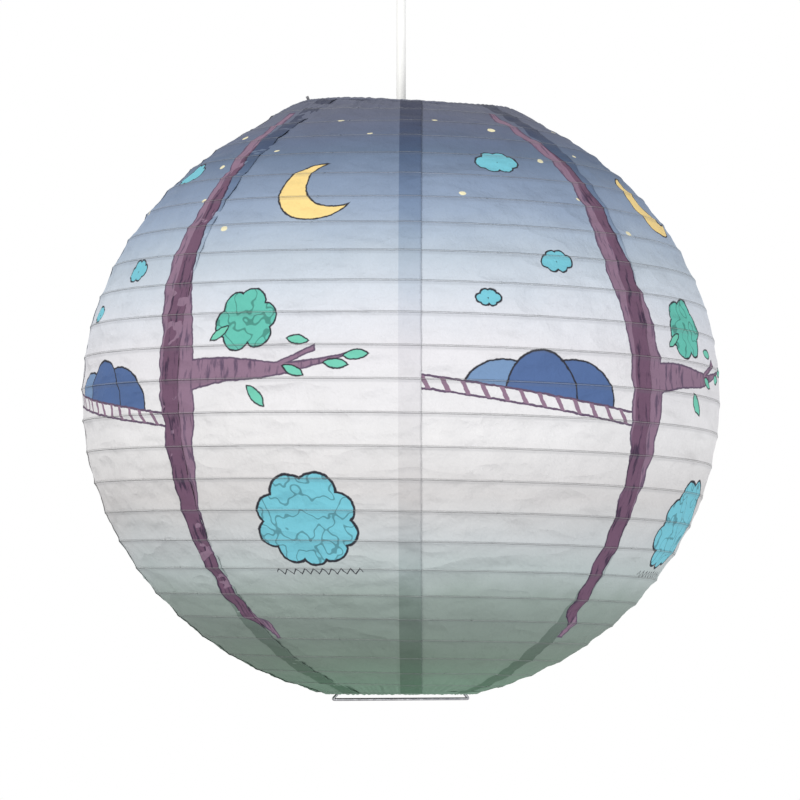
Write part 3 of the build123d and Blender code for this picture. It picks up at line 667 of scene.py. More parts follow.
@dataclass
class PrintDesign:
    """The whole printed design: dusk sky to green ground, stars, moon, puffs, hills, track and tree.

    Attributes:
        palette: The print's colours.
        half: Which half of the repeat is drawn.
    """

    palette: Palette
    half: Half

    def build(self) -> NodeTree:
        """Makes the shader group, which turns the skin UV map into a colour."""
        tree, wire, inside, out = new_group(
            f"paper_print_{self.half.value}", {"Skin": (VECTOR, None)}, {"Colour": COLOUR}
        )
        self.wire = wire
        split = wire.split(inside.outputs["Skin"])
        self.turns, self.arc = split[0], split[1]
        centred = wire.minus(wire.math("FRACT", wire.plus(self.turns, REPEAT_SHIFT)), 0.5)
        cell = wire.times(centred, CELL_DEG)
        self.metric = wire.stretched(inside.outputs["Skin"], (math.pi / 2 * SKIN_RADIUS, 1.0, 1.0))
        shake = wire.add("ShaderNodeTexNoise")
        wire.feed(shake.inputs["Vector"], self.metric)
        shake.inputs["Scale"].default_value = 260.0
        shake.inputs["Detail"].default_value = 2.0
        parts = wire.add("ShaderNodeSeparateColor")
        wire.feed(parts.inputs[0], shake.outputs["Color"])
        wobble = [wire.line(parts.outputs[index], WOBBLE, -WOBBLE / 2) for index in (0, 1)]
        self.sheet = PrintSheet(wire, cell, self.arc, *wobble)
        colour = self.stars(self.wash())
        if self.half is Half.LEFT:
            colour = self.crown(self.bush(self.moon(colour)))
            colour = self.leaves(self.tree(colour, self.limbs()))
        else:
            colour = self.tree(self.track(self.clouds(colour)), [])
        wire.feed(out.inputs["Colour"], colour)
        return tree

    def wash(self) -> Socket:
        """Dusk at the top, white in the middle and green at the foot, with brushy edges."""
        wire = self.wire
        brush = wire.grain(self.metric, 14.0, 5.0, 0.6)
        washed = wire.plus(self.arc, wire.line(brush, BRUSH, -BRUSH / 2))
        share = wire.math("DIVIDE", wire.minus(washed, RAMP_LOW), RAMP_HIGH - RAMP_LOW)
        stops = [((at - RAMP_LOW) / (RAMP_HIGH - RAMP_LOW), colour) for at, colour in GROUND_STOPS]
        return wire.ramp(share, stops)

    def stars(self, colour: object) -> Socket:
        """Small round stars in the dusk."""
        sheet = self.sheet
        side = -1 if self.half is Half.LEFT else 1
        shapes = [
            sheet.oval(sheet.local(a, v), (0, 0), (r * 1.15, r * 0.85)) for a, v, r in STARS if a * side > 0
        ]
        return sheet.fill(sheet.union(shapes), colour, self.palette.star)

    def moon(self, colour: object) -> Socket:
        """Crescent moon: one disc less another."""
        sheet = self.sheet
        place = sheet.local(*MOON_AT)
        disc = sheet.oval(place, *MOON_DISC)
        moon = self.wire.most(disc, self.wire.times(sheet.oval(place, *MOON_BITE), -1.0))
        return sheet.drawn(moon, colour, self.palette.moon, self.palette.ink)

    def clouds(self, colour: object) -> Socket:
        """Puffy clouds."""
        for degrees, height, scale in CLOUDS:
            puff = self.sheet.puff(degrees, height, scale, CLOUD_LOBES)
            colour = self.sheet.drawn(puff, colour, self.palette.cloud, self.palette.ink)
        return colour

    def track(self, colour: object) -> Socket:
        """Low hills over a plain track of rails and ties."""
        wire, sheet, palette = self.wire, self.sheet, self.palette
        place = sheet.local(*TRACK_AT)
        across, up = wire.split(place)[:2]
        drop = wire.plus(wire.line(across, TRACK_SLOPE, up), TRACK_DROP)
        above = wire.times(drop, -1.0)
        for centre, size, tint in (
            ((-22, -8), (26, 20), palette.hill_light),
            ((24, -14), (30, 27), palette.hill),
            ((2, -12), (24, 30), palette.hill),
        ):
            hill = wire.most(sheet.oval(place, centre, size), above)
            colour = sheet.drawn(hill, colour, tint, palette.ink)
        ends = wire.minus(wire.math("ABSOLUTE", across), TRACK_HALF)
        for offset in (0.0, TRACK_GAUGE):
            rail = wire.minus(wire.math("ABSOLUTE", wire.plus(drop, offset)), RAIL_HALF)
            colour = sheet.fill(wire.most(rail, ends), colour, palette.bark_dark)
        along = wire.plus(across, wire.times(drop, TIE_LEAN))
        ties = wire.minus(wire.math("PINGPONG", along, TIE_GAP), TIE_HALF)
        bed = wire.minus(wire.math("ABSOLUTE", wire.plus(drop, TRACK_GAUGE / 2)), BED_HALF)
        return sheet.fill(wire.most(ties, bed, ends), colour, palette.bark)

    def bush(self, colour: object) -> Socket:
        """Round curly bush on the meadow, with a line of grass under it."""
        wire, sheet, ink = self.wire, self.sheet, self.palette.ink
        bush = sheet.puff(*BUSH_AT, BUSH_SCALE, BUSH_LOBES)
        colour = sheet.outline(bush, self.curls(bush, colour, self.palette.cloud), ink, 0.0008)
        across, up = wire.split(sheet.local(*GRASS_AT))[:2]
        blades = wire.times(wire.math("PINGPONG", across, BLADE_GAP), BLADE_SLOPE)
        line = wire.minus(wire.off(up, blades), BLADE_HALF)
        ends = wire.minus(wire.math("ABSOLUTE", across), GRASS_HALF)
        return sheet.fill(wire.most(line, ends), colour, ink)

    def crown(self, colour: object) -> Socket:
        """Leafy crown on the branch."""
        sheet, ink = self.sheet, self.palette.ink
        crown = sheet.puff(*CROWN_AT, CROWN_SCALE, CROWN_LOBES)
        return sheet.outline(crown, self.curls(crown, colour, self.palette.crown), ink)

    def curls(self, shape: object, below: object, tint: RGB) -> Socket:
        """Paints a leafy shape with loose curly lines inside it."""
        wire = self.wire
        swirl = wire.grain(self.metric, 85.0, 1.0)
        deeper = tuple(share * 0.55 for share in tint)
        inside = wire.mix(wire.fade(wire.off(swirl, 0.5), 0.030, 0.014), tint, deeper)
        return self.sheet.fill(shape, below, inside)

    def limbs(self) -> list[Socket]:
        """Signed distances of the branch and its twig."""
        wire = self.wire
        across, up = wire.split(self.sheet.local(TRUNK_DEG, 0.0))[:2]
        share = wire.math("DIVIDE", across, BRANCH_LENGTH, clamp=True)
        spine = wire.times(wire.curve(share, BRANCH_SPINE), BRANCH_RISE)
        thick = wire.times(wire.curve(share, BRANCH_GIRTH), BRANCH_THICK)
        sides = wire.minus(wire.off(up, spine), thick)
        branch = wire.most(sides, wire.times(across, -1.0), wire.minus(across, BRANCH_END))
        line = wire.line(wire.minus(across, TWIG_FOOT), TWIG_SLOPE, TWIG_RISE)
        twig = wire.minus(wire.off(up, line), TWIG_HALF)
        return [branch, wire.most(twig, wire.minus(wire.off(across, TWIG_MIDDLE), TWIG_REACH))]

    def tree(self, colour: object, limbs: list[Socket]) -> Socket:
        """Trunk that runs from mouth to mouth, drawn together with its limbs."""
        wire, sheet, palette = self.wire, self.sheet, self.palette
        shifted = wire.math("FRACT", wire.plus(self.turns, REPEAT_SHIFT - TRUNK_DEG / CELL_DEG))
        off_trunk = wire.times(wire.minus(shifted, 0.5), CELL_DEG)
        rise = wire.math("DIVIDE", wire.minus(self.arc, RAMP_LOW), RAMP_HIGH - RAMP_LOW)
        lean = wire.line(wire.curve(rise, TRUNK_LEAN), LEAN_SPAN, -LEAN_SPAN / 2)
        turn = wire.math("COSINE", wire.math("DIVIDE", self.arc, SKIN_CURVE))
        side = wire.times(wire.minus(off_trunk, lean), wire.times(turn, math.radians(1) * SKIN_RADIUS))
        knobs = wire.grain(self.metric, 55.0, 3.0)
        side = wire.plus(side, wire.line(knobs, KNOBS, -KNOBS / 2))
        girth = wire.times(wire.curve(rise, TRUNK_GIRTH), TRUNK_THICK)
        trunk = wire.minus(wire.math("ABSOLUTE", side), girth)
        trunk = wire.most(trunk, wire.minus(TRUNK_FOOT, self.arc), wire.minus(self.arc, TRUNK_TOP))
        wood = sheet.union([trunk, *limbs])
        streak = wire.grain(wire.stretched(self.metric, (5.0, 1.0, 1.0)), 60.0, 4.0)
        bark = wire.mix(wire.fade(streak, 0.52, 0.66), palette.bark, palette.bark_dark)
        return sheet.drawn(wood, colour, bark, palette.bark_dark)

    def leaves(self, colour: object) -> Socket:
        """Leaves, each where two discs cross."""
        sheet = self.sheet
        for degrees, height, length, turn in LEAVES:
            place = sheet.local(degrees, height)
            bend = math.radians(turn + 90)
            half = length * LEAF_BEND
            off = half - length * LEAF_HALF
            pair = [
                sheet.oval(place, (sign * off * math.cos(bend), sign * off * math.sin(bend)), (half, half))
                for sign in (1, -1)
            ]
            colour = sheet.drawn(
                self.wire.most(*pair), colour, self.palette.leaf, self.palette.ink, 0.00045
            )
        return colour


@dataclass(frozen=True)
class PrintedPaper:
    """Finish of the printed tissue.

    Attributes:
        name: Material name.
        roughness: Roughness of the tissue.
        specular: Strength of its sheen.
        lap_gamma: How much two layers deepen the print.
        lap_blur: Half the blur at the lap's edges, in metres.
        rib_highlight_width: Half width of the painted highlight over the rib, in turns of the rib.
        rib_shade: Half width of the soft shade under that line, in turns of the rib.
        rib_mark: How strongly both are drawn.
        folds: Height of the broad creases, beside the whole relief's.
        creases: Height of the small ones.
        bump: Height of the whole relief, in metres.
        see_through: Share of the light that the tissue lets through.
    """

    name: str = "printed_paper"
    roughness: float = 0.78
    specular: float = 0.25
    lap_gamma: float = 1.4
    lap_blur: float = 0.0002
    rib_highlight_width: float = 0.035
    rib_shade: float = 0.075
    rib_mark: float = 0.17
    folds: float = -6.0
    creases: float = -0.8
    bump: float = 0.0019
    see_through: float = 0.20

    def over_lap(self, wire: Wiring, colour: object, past_seam: object, lap: float) -> Socket:
        """Deepens the print where two gores overlap, with a fine shadow at the free edge.

        Args:
            wire: The material's wiring.
            colour: The print.
            past_seam: Metres past the seam.
            lap: Width of the glued lap, in metres.

        Returns:
            The colour with its laps.
        """
        half = lap / 2
        inside = wire.fade(wire.off(past_seam, half), half + self.lap_blur, half - self.lap_blur)
        deep = wire.add("ShaderNodeGamma")
        wire.feed(deep.inputs["Color"], colour)
        deep.inputs["Gamma"].default_value = self.lap_gamma
        colour = wire.mix(inside, colour, deep.outputs[0])
        shadow = wire.fade(wire.off(past_seam, lap), 0.0007, 0.0001, 0.0, 0.18)
        return wire.mix(shadow, colour, (0.12, 0.13, 0.16))

    def over_rib(self, wire: Wiring, colour: object, phase: object, near: object) -> Socket:
        """Shows the wire through the paper as a painted highlight along its crest, with a painted shade under
        it.

        Args:
            wire: The material's wiring.
            colour: The print.
            phase: Share of a turn below the rib.
            near: Distance from the rib, in turns.

        Returns:
            The colour with the rib's marks.
        """
        # Painted highlight along the crest where the tissue stands over the wire, partly the wire seen
        # through it.
        rib_highlight = wire.fade(near, self.rib_highlight_width, 0.0, 0.0, self.rib_mark)
        under = wire.fade(wire.off(phase, self.rib_shade), self.rib_shade, 0.0, 0.0, self.rib_mark)
        # Painted shade under the rib, then the painted highlight over it.
        colour = wire.mix(under, colour, (0.16, 0.17, 0.20))
        return wire.mix(rib_highlight, colour, (0.93, 0.94, 0.96))

    def relief(self, wire: Wiring, place: object, fibre: object, near: object) -> Socket:
        """Height of the tissue's creases, its fibres and the bead over the rib.

        Args:
            wire: The material's wiring.
            place: Object coordinates.
            fibre: Noise of the fibres.
            near: Distance from the rib, in turns.

        Returns:
            The height socket.
        """
        slanted = wire.add("ShaderNodeMapping", vector_type="POINT")
        wire.feed(slanted.inputs["Vector"], place)
        slanted.inputs["Rotation"].default_value = (0.5, 0.35, 0.2)
        slanted.inputs["Scale"].default_value = (0.6, 0.6, 1.5)
        broad = wire.off(wire.grain(slanted.outputs[0], 26.0, 2.0, 0.45), 0.5)
        small = wire.off(wire.grain(place, 120.0, 3.0, 0.55), 0.5)
        height = wire.line(broad, self.folds, wire.times(fibre, 0.08))
        height = wire.line(small, self.creases, height)
        return wire.plus(height, wire.fade(near, 0.04, 0.0, 0.0, 0.5))

    def build(self, palette: Palette, half: Half, lap_width: float) -> Material:
        """Makes the paper's material.

        Args:
            palette: The print's colours.
            half: Which half of the repeat it carries.
            lap_width: Width of the glued lap, in metres.

        Returns:
            The finished material.
        """
        material, wire, shader = new_material(f"{self.name}_{half.value}")
        seams = wire.split(wire.add("ShaderNodeUVMap", uv_map="seams").outputs[0])
        phase = wire.math("FRACT", seams[1])
        near = wire.minus(0.5, wire.off(phase, 0.5))
        group = wire.add("ShaderNodeGroup", node_tree=PrintDesign(palette, half).build())
        wire.feed(group.inputs["Skin"], wire.add("ShaderNodeUVMap", uv_map="skin").outputs[0])
        colour = self.over_lap(wire, group.outputs["Colour"], seams[0], lap_width)
        colour = self.over_rib(wire, colour, phase, near)
        place = wire.add("ShaderNodeTexCoord").outputs["Object"]
        fibre = wire.grain(place, 420.0, 4.0, 0.65)
        cloudy = wire.line(wire.grain(place, 38.0, 4.0, 0.6), 0.14, 0.89)
        shade = wire.grey(wire.times(cloudy, wire.line(fibre, 0.05, 0.975)))
        colour = wire.mix(1.0, colour, shade, "MULTIPLY")
        wire.feed(shader.inputs["Base Color"], colour)
        wire.feed(shader.inputs["Roughness"], wire.line(fibre, 0.16, self.roughness - 0.08))
        shader.inputs["Specular IOR Level"].default_value = self.specular
        bump = wire.add("ShaderNodeBump")
        bump.inputs["Distance"].default_value = self.bump
        wire.feed(bump.inputs["Height"], self.relief(wire, place, fibre, near))
        glow = wire.add("ShaderNodeBsdfTranslucent")
        wire.feed(glow.inputs["Color"], colour)
        for lit in (shader, glow):
            wire.feed(lit.inputs["Normal"], bump.outputs[0])
        blend = wire.add("ShaderNodeMixShader")
        for socket, value in zip(blend.inputs, (self.see_through, shader.outputs[0], glow.outputs[0])):
            wire.feed(socket, value)
        end = next(node for node in material.node_tree.nodes if node.type == "OUTPUT_MATERIAL")
        wire.feed(end.inputs["Surface"], blend.outputs[0])
        return material


# ---- Globe ---------------------------------------------------------------------------------
@dataclass
class Globe:
    """Shape of the stretched paper: an oval of revolution that sags between the turns of its rib.

    Attributes:
        centre_z: Height of the globe's centre.
        equator: Radius at the equator.
        polar: Radius at the closed poles.
        pitch: Distance along the paper between turns of the rib.
        rib_deg: Angle at which a turn crosses the equator.
        top_z: Height of the top mouth's edge.
        bottom_z: Height of the bottom mouth's edge.
        sag: How far the paper dips between turns.
        folds: Height of the creases that run from turn to turn.
        ridges: Height of the sharper ridges among them.
        puckers: Height of the puckers beside a lap.
        pucker_reach: How far they spread from the lap.
        pleats: Height of the gathers at the mouths.
        pleat_reach: How far they reach from a mouth.
        bead: How far the paper stands out over the rib.
        steps: Steps of the arc length table.
        saddle: How much higher the frame holds the top mouth's ends than its front and back.
        saddle_reach: How far down the paper that lift fades out.
    """

    centre_z: float = CENTRE_Z
    equator: float = 0.200
    polar: float = 0.1905
    pitch: float = 0.0198
    rib_deg: float = FRONT_DEG
    top_z: float = field(default_factory=lambda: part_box("paper_gore_1")[1][2])
    bottom_z: float = field(default_factory=lambda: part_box("paper_gore_1")[0][2])
    sag: float = 0.0011
    folds: float = 0.00085
    ridges: float = 0.00060
    puckers: float = 0.00065
    pucker_reach: float = 0.016
    pleats: float = 0.0011
    pleat_reach: float = 0.034
    bead: float = 0.00024
    steps: int = 1500
    saddle: float = 0.0047
    saddle_reach: float = 0.030

    def __post_init__(self) -> None:
        """Tabulates the arc length along the meridian."""
        self.angles = [math.pi / 2 * step / self.steps for step in range(self.steps + 1)]
        self.arcs = [0.0]
        for low, high in zip(self.angles, self.angles[1:]):
            run = math.hypot(
                self.equator * (math.cos(high) - math.cos(low)), self.polar * (math.sin(high) - math.sin(low))
            )
            self.arcs.append(self.arcs[-1] + run)
        self.top_arc = self.arc_at(self.top_z)
        self.bottom_arc = self.arc_at(self.bottom_z)

    def arc_at(self, height: float) -> float:
        """Arc length from the equator to a height."""
        share = (height - self.centre_z) / self.polar
        angle = math.asin(max(-1.0, min(1.0, abs(share))))
        index = min(int(angle / (math.pi / 2) * self.steps), self.steps - 1)
        part = (angle - self.angles[index]) / (self.angles[index + 1] - self.angles[index])
        length = self.arcs[index] + part * (self.arcs[index + 1] - self.arcs[index])
        return math.copysign(length, share)

    def angle_at(self, arc: float) -> float:
        """Parametric angle of the oval at an arc length from the equator."""
        length = min(abs(arc), self.arcs[-1])
        index = min(max(bisect.bisect(self.arcs, length) - 1, 0), self.steps - 1)
        part = (length - self.arcs[index]) / (self.arcs[index + 1] - self.arcs[index])
        return math.copysign(self.angles[index] + part * (self.angles[1] - self.angles[0]), arc)

    def turn_count(self, degrees: float, arc: float) -> float:
        """Turns of the rib from its equator crossing to a place on the paper; whole on the rib."""
        return -arc / self.pitch - (degrees - self.rib_deg) / 360

    def relief(self, degrees: float, arc: float, seam_run: float) -> float:
        """How far the paper stands out from the oval.

        Args:
            degrees: Angle round the globe.
            arc: Distance along the paper above the equator.
            seam_run: Distance from the middle of the nearest lap.

        Returns:
            The distance outwards, in metres.
        """
        turns = self.turn_count(degrees, arc)
        phase = turns - math.floor(turns)
        belly = 4 * phase * (1 - phase)
        width = self.equator * math.cos(self.angle_at(arc))
        around = math.radians(degrees) * width
        here = Vector((math.cos(math.radians(degrees)) * width, math.sin(math.radians(degrees)) * width, arc))
        uneven = noise.noise(here * 22.0) * 0.5 + 0.5
        out = -self.sag * belly * (0.62 + 0.76 * uneven)
        slant = noise.noise(Vector((around * 9.0, math.floor(turns) * 3.7, 0.5))) * 1.4
        across = around * 62.0 + slant * phase * 3.0
        folds = noise.noise(Vector((across, math.floor(turns) * 5.3, phase * 1.4)))
        ridge = 1.0 - abs(noise.noise(here * 48.0 + Vector((7.1, 3.3, 0.4)))) * 2.6
        out += belly * (self.folds * folds + self.ridges * max(ridge, -0.4))
        near_seam = math.exp(-((seam_run / self.pucker_reach) ** 2))
        star = noise.noise(Vector((around * 150.0, arc * 120.0, 1.7)))
        out += near_seam * self.puckers * star * (0.4 + 0.6 * belly)
        mouth = min(self.top_arc - arc, arc - self.bottom_arc)
        gather = 1.0 - smooth_step(0.0, self.pleat_reach, mouth)
        pleat = noise.noise(Vector((degrees * 0.42, 3.0 + arc * 12.0, 9.1)))
        out += gather * self.pleats * pleat * smooth_step(0.0, 0.004, mouth)
        return out + self.bead * math.exp(-((min(phase, 1 - phase) / 0.05) ** 2))

    def lift(self, degrees: float, arc: float) -> float:
        """How far the sprung frame's notches lift the paper near the top mouth."""
        fade = smooth_step(self.top_arc - self.saddle_reach, self.top_arc, arc)
        return self.saddle * fade * math.cos(math.radians(degrees)) ** 2

    def place(self, degrees: float, arc: float, out: float) -> Vector:
        """Point on the paper.

        Args:
            degrees: Angle round the globe.
            arc: Distance along the paper above the equator.
            out: Distance outwards from the oval.

        Returns:
            The point, in metres.
        """
        angle = self.angle_at(arc)
        across, up = math.cos(angle) / self.equator, math.sin(angle) / self.polar
        length = math.hypot(across, up)
        radius = self.equator * math.cos(angle) + out * across / length
        height = self.centre_z + self.polar * math.sin(angle) + out * up / length
        height += self.lift(degrees, arc)
        turn = math.radians(degrees)
        return Vector((radius * math.cos(turn), radius * math.sin(turn), height))

    def radius(self, arc: float) -> float:
        """Radius of the oval at a distance along the paper."""
        return self.equator * math.cos(self.angle_at(arc))


@dataclass
class PaperSkin:
    """The eight glued gores of the globe.

    Attributes:
        globe: Shape that the paper takes.
        gores: How many gores there are.
        first_seam: Angle of the first gore's seam, in degrees.
        lap: Width of the glued lap.
        lift: How far the lap stands off the gore under it.
        thickness: Thickness of the tissue.
        columns: Grid columns across a gore, without its lap.
        lap_columns: Grid columns across the lap.
        rows_per_turn: Grid rows between turns of the rib.
    """

    globe: Globe
    gores: int = 8
    first_seam: float = FRONT_DEG - 0.5
    lap: float = 0.0135
    lift: float = 0.00042
    thickness: float = 0.00018
    columns: int = 64
    lap_columns: int = 8
    rows_per_turn: int = 10

    def row_arcs(self) -> list[float]:
        """Distances along the paper of the grid's rows, from the bottom mouth to the top one."""
        globe = self.globe
        gap = globe.pitch / self.rows_per_turn
        first = math.ceil(globe.bottom_arc / gap + 0.5)
        last = math.floor(globe.top_arc / gap - 0.5)
        return [globe.bottom_arc] + [gap * index for index in range(first, last + 1)] + [globe.top_arc]

    def build(self, papers: Sequence[Material]) -> list[Piece]:
        """Makes every gore, with the papers taking turns, in order round the globe."""
        return [self.gore(index, papers[index % len(papers)]) for index in range(self.gores)]

    def gore(self, index: int, material: Material) -> Piece:
        """Makes one gore with its lap.

        Args:
            index: Its place round the globe.
            material: The printed paper.

        Returns:
            The gore's object.
        """
        globe = self.globe
        step = 360 / self.gores
        seam = self.first_seam + index * step
        arcs = self.row_arcs()
        across = self.columns + self.lap_columns
        shape = bmesh.new()
        bmesh.ops.create_grid(shape, x_segments=across, y_segments=len(arcs) - 1, size=0.5)
        skin = shape.loops.layers.uv.new("skin")
        seams = shape.loops.layers.uv.new("seams")
        facts: list[tuple[float, float, float]] = []
        for vert in shape.verts:
            column = round((vert.co.x + 0.5) * across)
            row = round((vert.co.y + 0.5) * (len(arcs) - 1))
            arc = arcs[row]
            if column <= self.columns:
                degrees = seam - step * (1 - column / self.columns)
                past = -math.radians(seam - degrees) * globe.radius(arc)
            else:
                past = self.lap * (column - self.columns) / self.lap_columns
                degrees = seam + math.degrees(past / globe.radius(arc))
            # Rows follow the rib's slope, and level out at the mouths.
            mouth = min(globe.top_arc - arc, arc - globe.bottom_arc)
            slope = -((degrees - globe.rib_deg + 180) % 360 - 180) / 360
            drop = globe.pitch * (slope - round(slope * self.rows_per_turn) / self.rows_per_turn)
            arc += drop * smooth_step(0.0, 0.012, mouth)
            facts.append((degrees, arc, past))
        shape.verts.index_update()
        for vert, (degrees, arc, past) in zip(shape.verts, facts):
            other = past + math.radians(step) * globe.radius(arc)
            run = min(abs(past - self.lap / 2), abs(other - self.lap / 2))
            raised = self.lift * smooth_step(-0.0012, 0.0, past)
            free_edge = 0.00012 * smooth_step(self.lap - 0.002, self.lap, past)
            flutter = free_edge * (1 + noise.noise(Vector((arc * 210.0, seam, 0.0))))
            vert.co = globe.place(degrees, arc, globe.relief(degrees, arc, run) + raised + flutter)
        for face in shape.faces:
            for loop in face.loops:
                degrees, arc, past = facts[loop.vert.index]
                loop[skin].uv = ((degrees - FRONT_DEG) / CELL_DEG, arc)
                loop[seams].uv = (past, globe.turn_count(degrees, arc) + 40)
        bmesh.ops.recalc_face_normals(shape, faces=shape.faces)
        middle = shape.faces[len(shape.faces) // 2]
        if middle.normal.dot(middle.calc_center_median() - Vector((0, 0, globe.centre_z))) < 0:
            bmesh.ops.reverse_faces(shape, faces=shape.faces)
        piece = object_from(f"gore_{index + 1}", shape, material)
        smooth(piece)
        thicken(piece, self.thickness)
        return piece


@dataclass
class Hem:
    """Tissue folded in over a mouth's ring and crumpled round it.

    Attributes:
        name: Name of the piece.
        node: The CAD node that it stands for; not used.
        globe: Shape of the paper.
        ring_node: The CAD node of the ring that it wraps.
        upward: 1 at the top mouth and -1 at the bottom one.
        around: Grid columns round the ring.
        wrap: Distance from the ring's middle to the tissue.
        tuck: How far the free edge hangs inside.
        crumple: Size of the creases.
        thickness: Thickness of the folded tissue.
    """

    name: str
    node: str
    globe: Globe
    ring_node: str
    upward: int
    around: int = 420
    wrap: float = 0.00128
    tuck: float = 0.0085
    crumple: float = 0.0007
    thickness: float = 0.00022

    def profile(self, ring_radius: float, ring_z: float, edge: Vector) -> list[Spot]:
        """Section of the tissue, from the paper's edge over the ring and down inside it.

        Args:
            ring_radius: Radius of the middle of the ring's wire.
            ring_z: Height of the ring's middle.
            edge: A point at the paper's edge.

        Returns:
            Radius and height of each point, in metres.
        """
        up = self.upward
        first = (ring_radius + self.wrap * 0.5, ring_z + up * self.wrap * 0.87)
        points = [(edge.y, edge.z - up * 0.0004)]
        for step in range(1, 5):
            share = step / 5
            points.append((edge.y + (first[0] - edge.y) * share, edge.z + (first[1] - edge.z) * share))
        for step in range(9):
            turn = math.radians(60 + 120 * step / 8)
            out, rise = self.wrap * math.cos(turn), self.wrap * math.sin(turn)
            points.append((ring_radius + out, ring_z + up * rise))
        for step in range(1, 6):
            points.append((ring_radius - self.wrap, ring_z - up * self.tuck * step / 5))
        return points

    def build(self, material: Material) -> Piece:
        """Makes the hem.

        Args:
            material: The printed paper.

        Returns:
            The hem's object.
        """
        low, high = (Vector(corner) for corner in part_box(self.ring_node))
        middle = (low + high) / 2
        ring_radius = (high.x - low.x) / 2 - (high.z - low.z) / 2
        edge_arc = self.globe.top_arc if self.upward > 0 else self.globe.bottom_arc
        edge = self.globe.place(90.0, edge_arc - self.upward * 0.0006, -0.0001)
        shape = spun(self.profile(ring_radius, middle.z, edge), self.around)
        skin = shape.loops.layers.uv.new("skin")
        seams = shape.loops.layers.uv.new("seams")
        for vert in shape.verts:
            degrees = math.degrees(math.atan2(vert.co.y, vert.co.x))
            radius = math.hypot(vert.co.x, vert.co.y)
            raised = self.globe.lift(degrees, edge_arc) if self.upward > 0 else 0.0
            if radius < ring_radius - self.wrap * 0.6:
                ragged = 0.0004 * noise.noise(Vector((degrees * 0.3, 5.0, 1.0)))
                vert.co.z += raised + self.upward * ragged
                continue
            outer = smooth_step(ring_radius, edge.y, radius)
            crease = noise.noise(Vector((degrees * 0.40, radius * 300.0, 4.2 * self.upward)))
            fine = noise.noise(Vector((degrees * 1.5, radius * 500.0, 2.2)))
            push = self.crumple * (0.3 + 0.7 * crease + 0.3 * fine) * (1 - 0.7 * outer)
            vert.co.z += raised + self.upward * max(push, 0.0)
        for face in shape.faces:
            centre = face.calc_center_median()
            face_deg = math.degrees(math.atan2(centre.y, centre.x))
            for loop in face.loops:
                degrees = math.degrees(math.atan2(loop.vert.co.y, loop.vert.co.x))
                degrees += 360 * round((face_deg - degrees) / 360)
                loop[skin].uv = ((degrees - FRONT_DEG) / CELL_DEG, edge_arc - self.upward * 0.002)
                loop[seams].uv = (-0.05, 0.5)
        piece = object_from(self.name, shape, material)
        smooth(piece)
        thicken(piece, self.thickness, 0.0)
        return piece


# ---- Wires ---------------------------------------------------------------------------------
def tube_along(
    name: str,
    points: Sequence[Vector],
    diameter: float,
    material: Material,
    closed: bool = False,
    sides: int = 12,
) -> Piece:
    """Round wire through a list of points, as a mesh with closed ends.

    Args:
        name: The piece's name.
        points: Points along the wire's middle.
        diameter: The wire's diameter.
        material: Its material.
        closed: Whether the wire is a ring.
        sides: Faces round the wire.

    Returns:
        The wire's object.
    """
    data = bpy.data.curves.new(name, "CURVE")
    data.dimensions = "3D"
    data.bevel_depth = diameter / 2
    data.bevel_resolution = max(sides // 4, 1)
    data.use_fill_caps = not closed
    spline = data.splines.new("POLY")
    spline.points.add(len(points) - 1)
    for point, spot in zip(spline.points, points):
        point.co = (*spot, 1.0)
    spline.use_cyclic_u = closed
    holder = bpy.data.objects.new(name + "_path", data)
    mesh = bpy.data.meshes.new_from_object(holder)
    mesh.name = name
    mesh.materials.clear()
    mesh.materials.append(material)
    bpy.data.objects.remove(holder)
    bpy.data.curves.remove(data)
    piece = placed(name, mesh)
    smooth(piece)
    return piece


@dataclass
class SpringFrame:
    """The sprung wire that stretches the globe.

    Attributes:
        wire: Diameter of the wire.
        to_ring: From a ring's middle to the wire beside it.
        bulge: How far a notch's shoulder stands out.
        shoulder: From a ring to its shoulder.
        flat: Half the straight stretch beside a ring.
        run: From a ring to the straight leg.
        back: How far the leg sits inside the wire beside the ring.
        tip: Height and lean of the cut ends over the top ring.
        bar: Drop and overhang of the cross bar.
        bend: Radius of the bends.
        saddle: How much higher the notches hold the top ring than its front and back.
    """

    wire: float = 0.0018
    to_ring: float = 0.00265
    bulge: float = 0.0030
    shoulder: float = 0.0046
    flat: float = 0.0012
    run: float = 0.0140
    back: float = 0.0014
    tip: Spot = (0.0044, 0.0017)
    bar: Spot = (0.0049, 0.0037)
    bend: float = 0.0016
    saddle: float = 0.0047

    def ring(self, node: str) -> Spot:
        """Radius and height of the middle of a ring's wire."""
        low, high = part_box(node)
        return (high[0] - low[0]) / 2 - (high[2] - low[2]) / 2, (high[2] + low[2]) / 2

    def leg(self) -> list[Spot]:
        """Corners of the right leg, from its tip to the cross bar."""
        top_radius, top_z = self.ring("top_ring")
        top_z += self.saddle
        foot_radius, foot_z = self.ring("bottom_ring")
        top, foot = top_radius - self.to_ring, foot_radius - self.to_ring
        return [
            (top + self.tip[1], top_z + self.tip[0]),
            (top, top_z + self.flat),
            (top, top_z - self.flat),
            (top + self.bulge, top_z - self.shoulder),
            (top - self.back, top_z - self.run),
            (foot - self.back, foot_z + self.run),
            (foot + self.bulge, foot_z + self.shoulder),
            (foot, foot_z + self.flat),
            (foot, foot_z - self.flat),
            (foot + self.bar[1], foot_z - self.bar[0]),
        ]

    def build(self, material: Material) -> Piece:
        """Makes the frame's wire.

        Args:
            material: Drawn steel.

        Returns:
            The frame's object.
        """
        right = self.leg()
        left = [(-x, z) for x, z in reversed(right)]
        outline = rounded(right + left, self.bend, 7)
        points = [Vector((x, 0.0, z)) for x, z in outline]
        return tube_along("spring_frame", points, self.wire, material, sides=16)


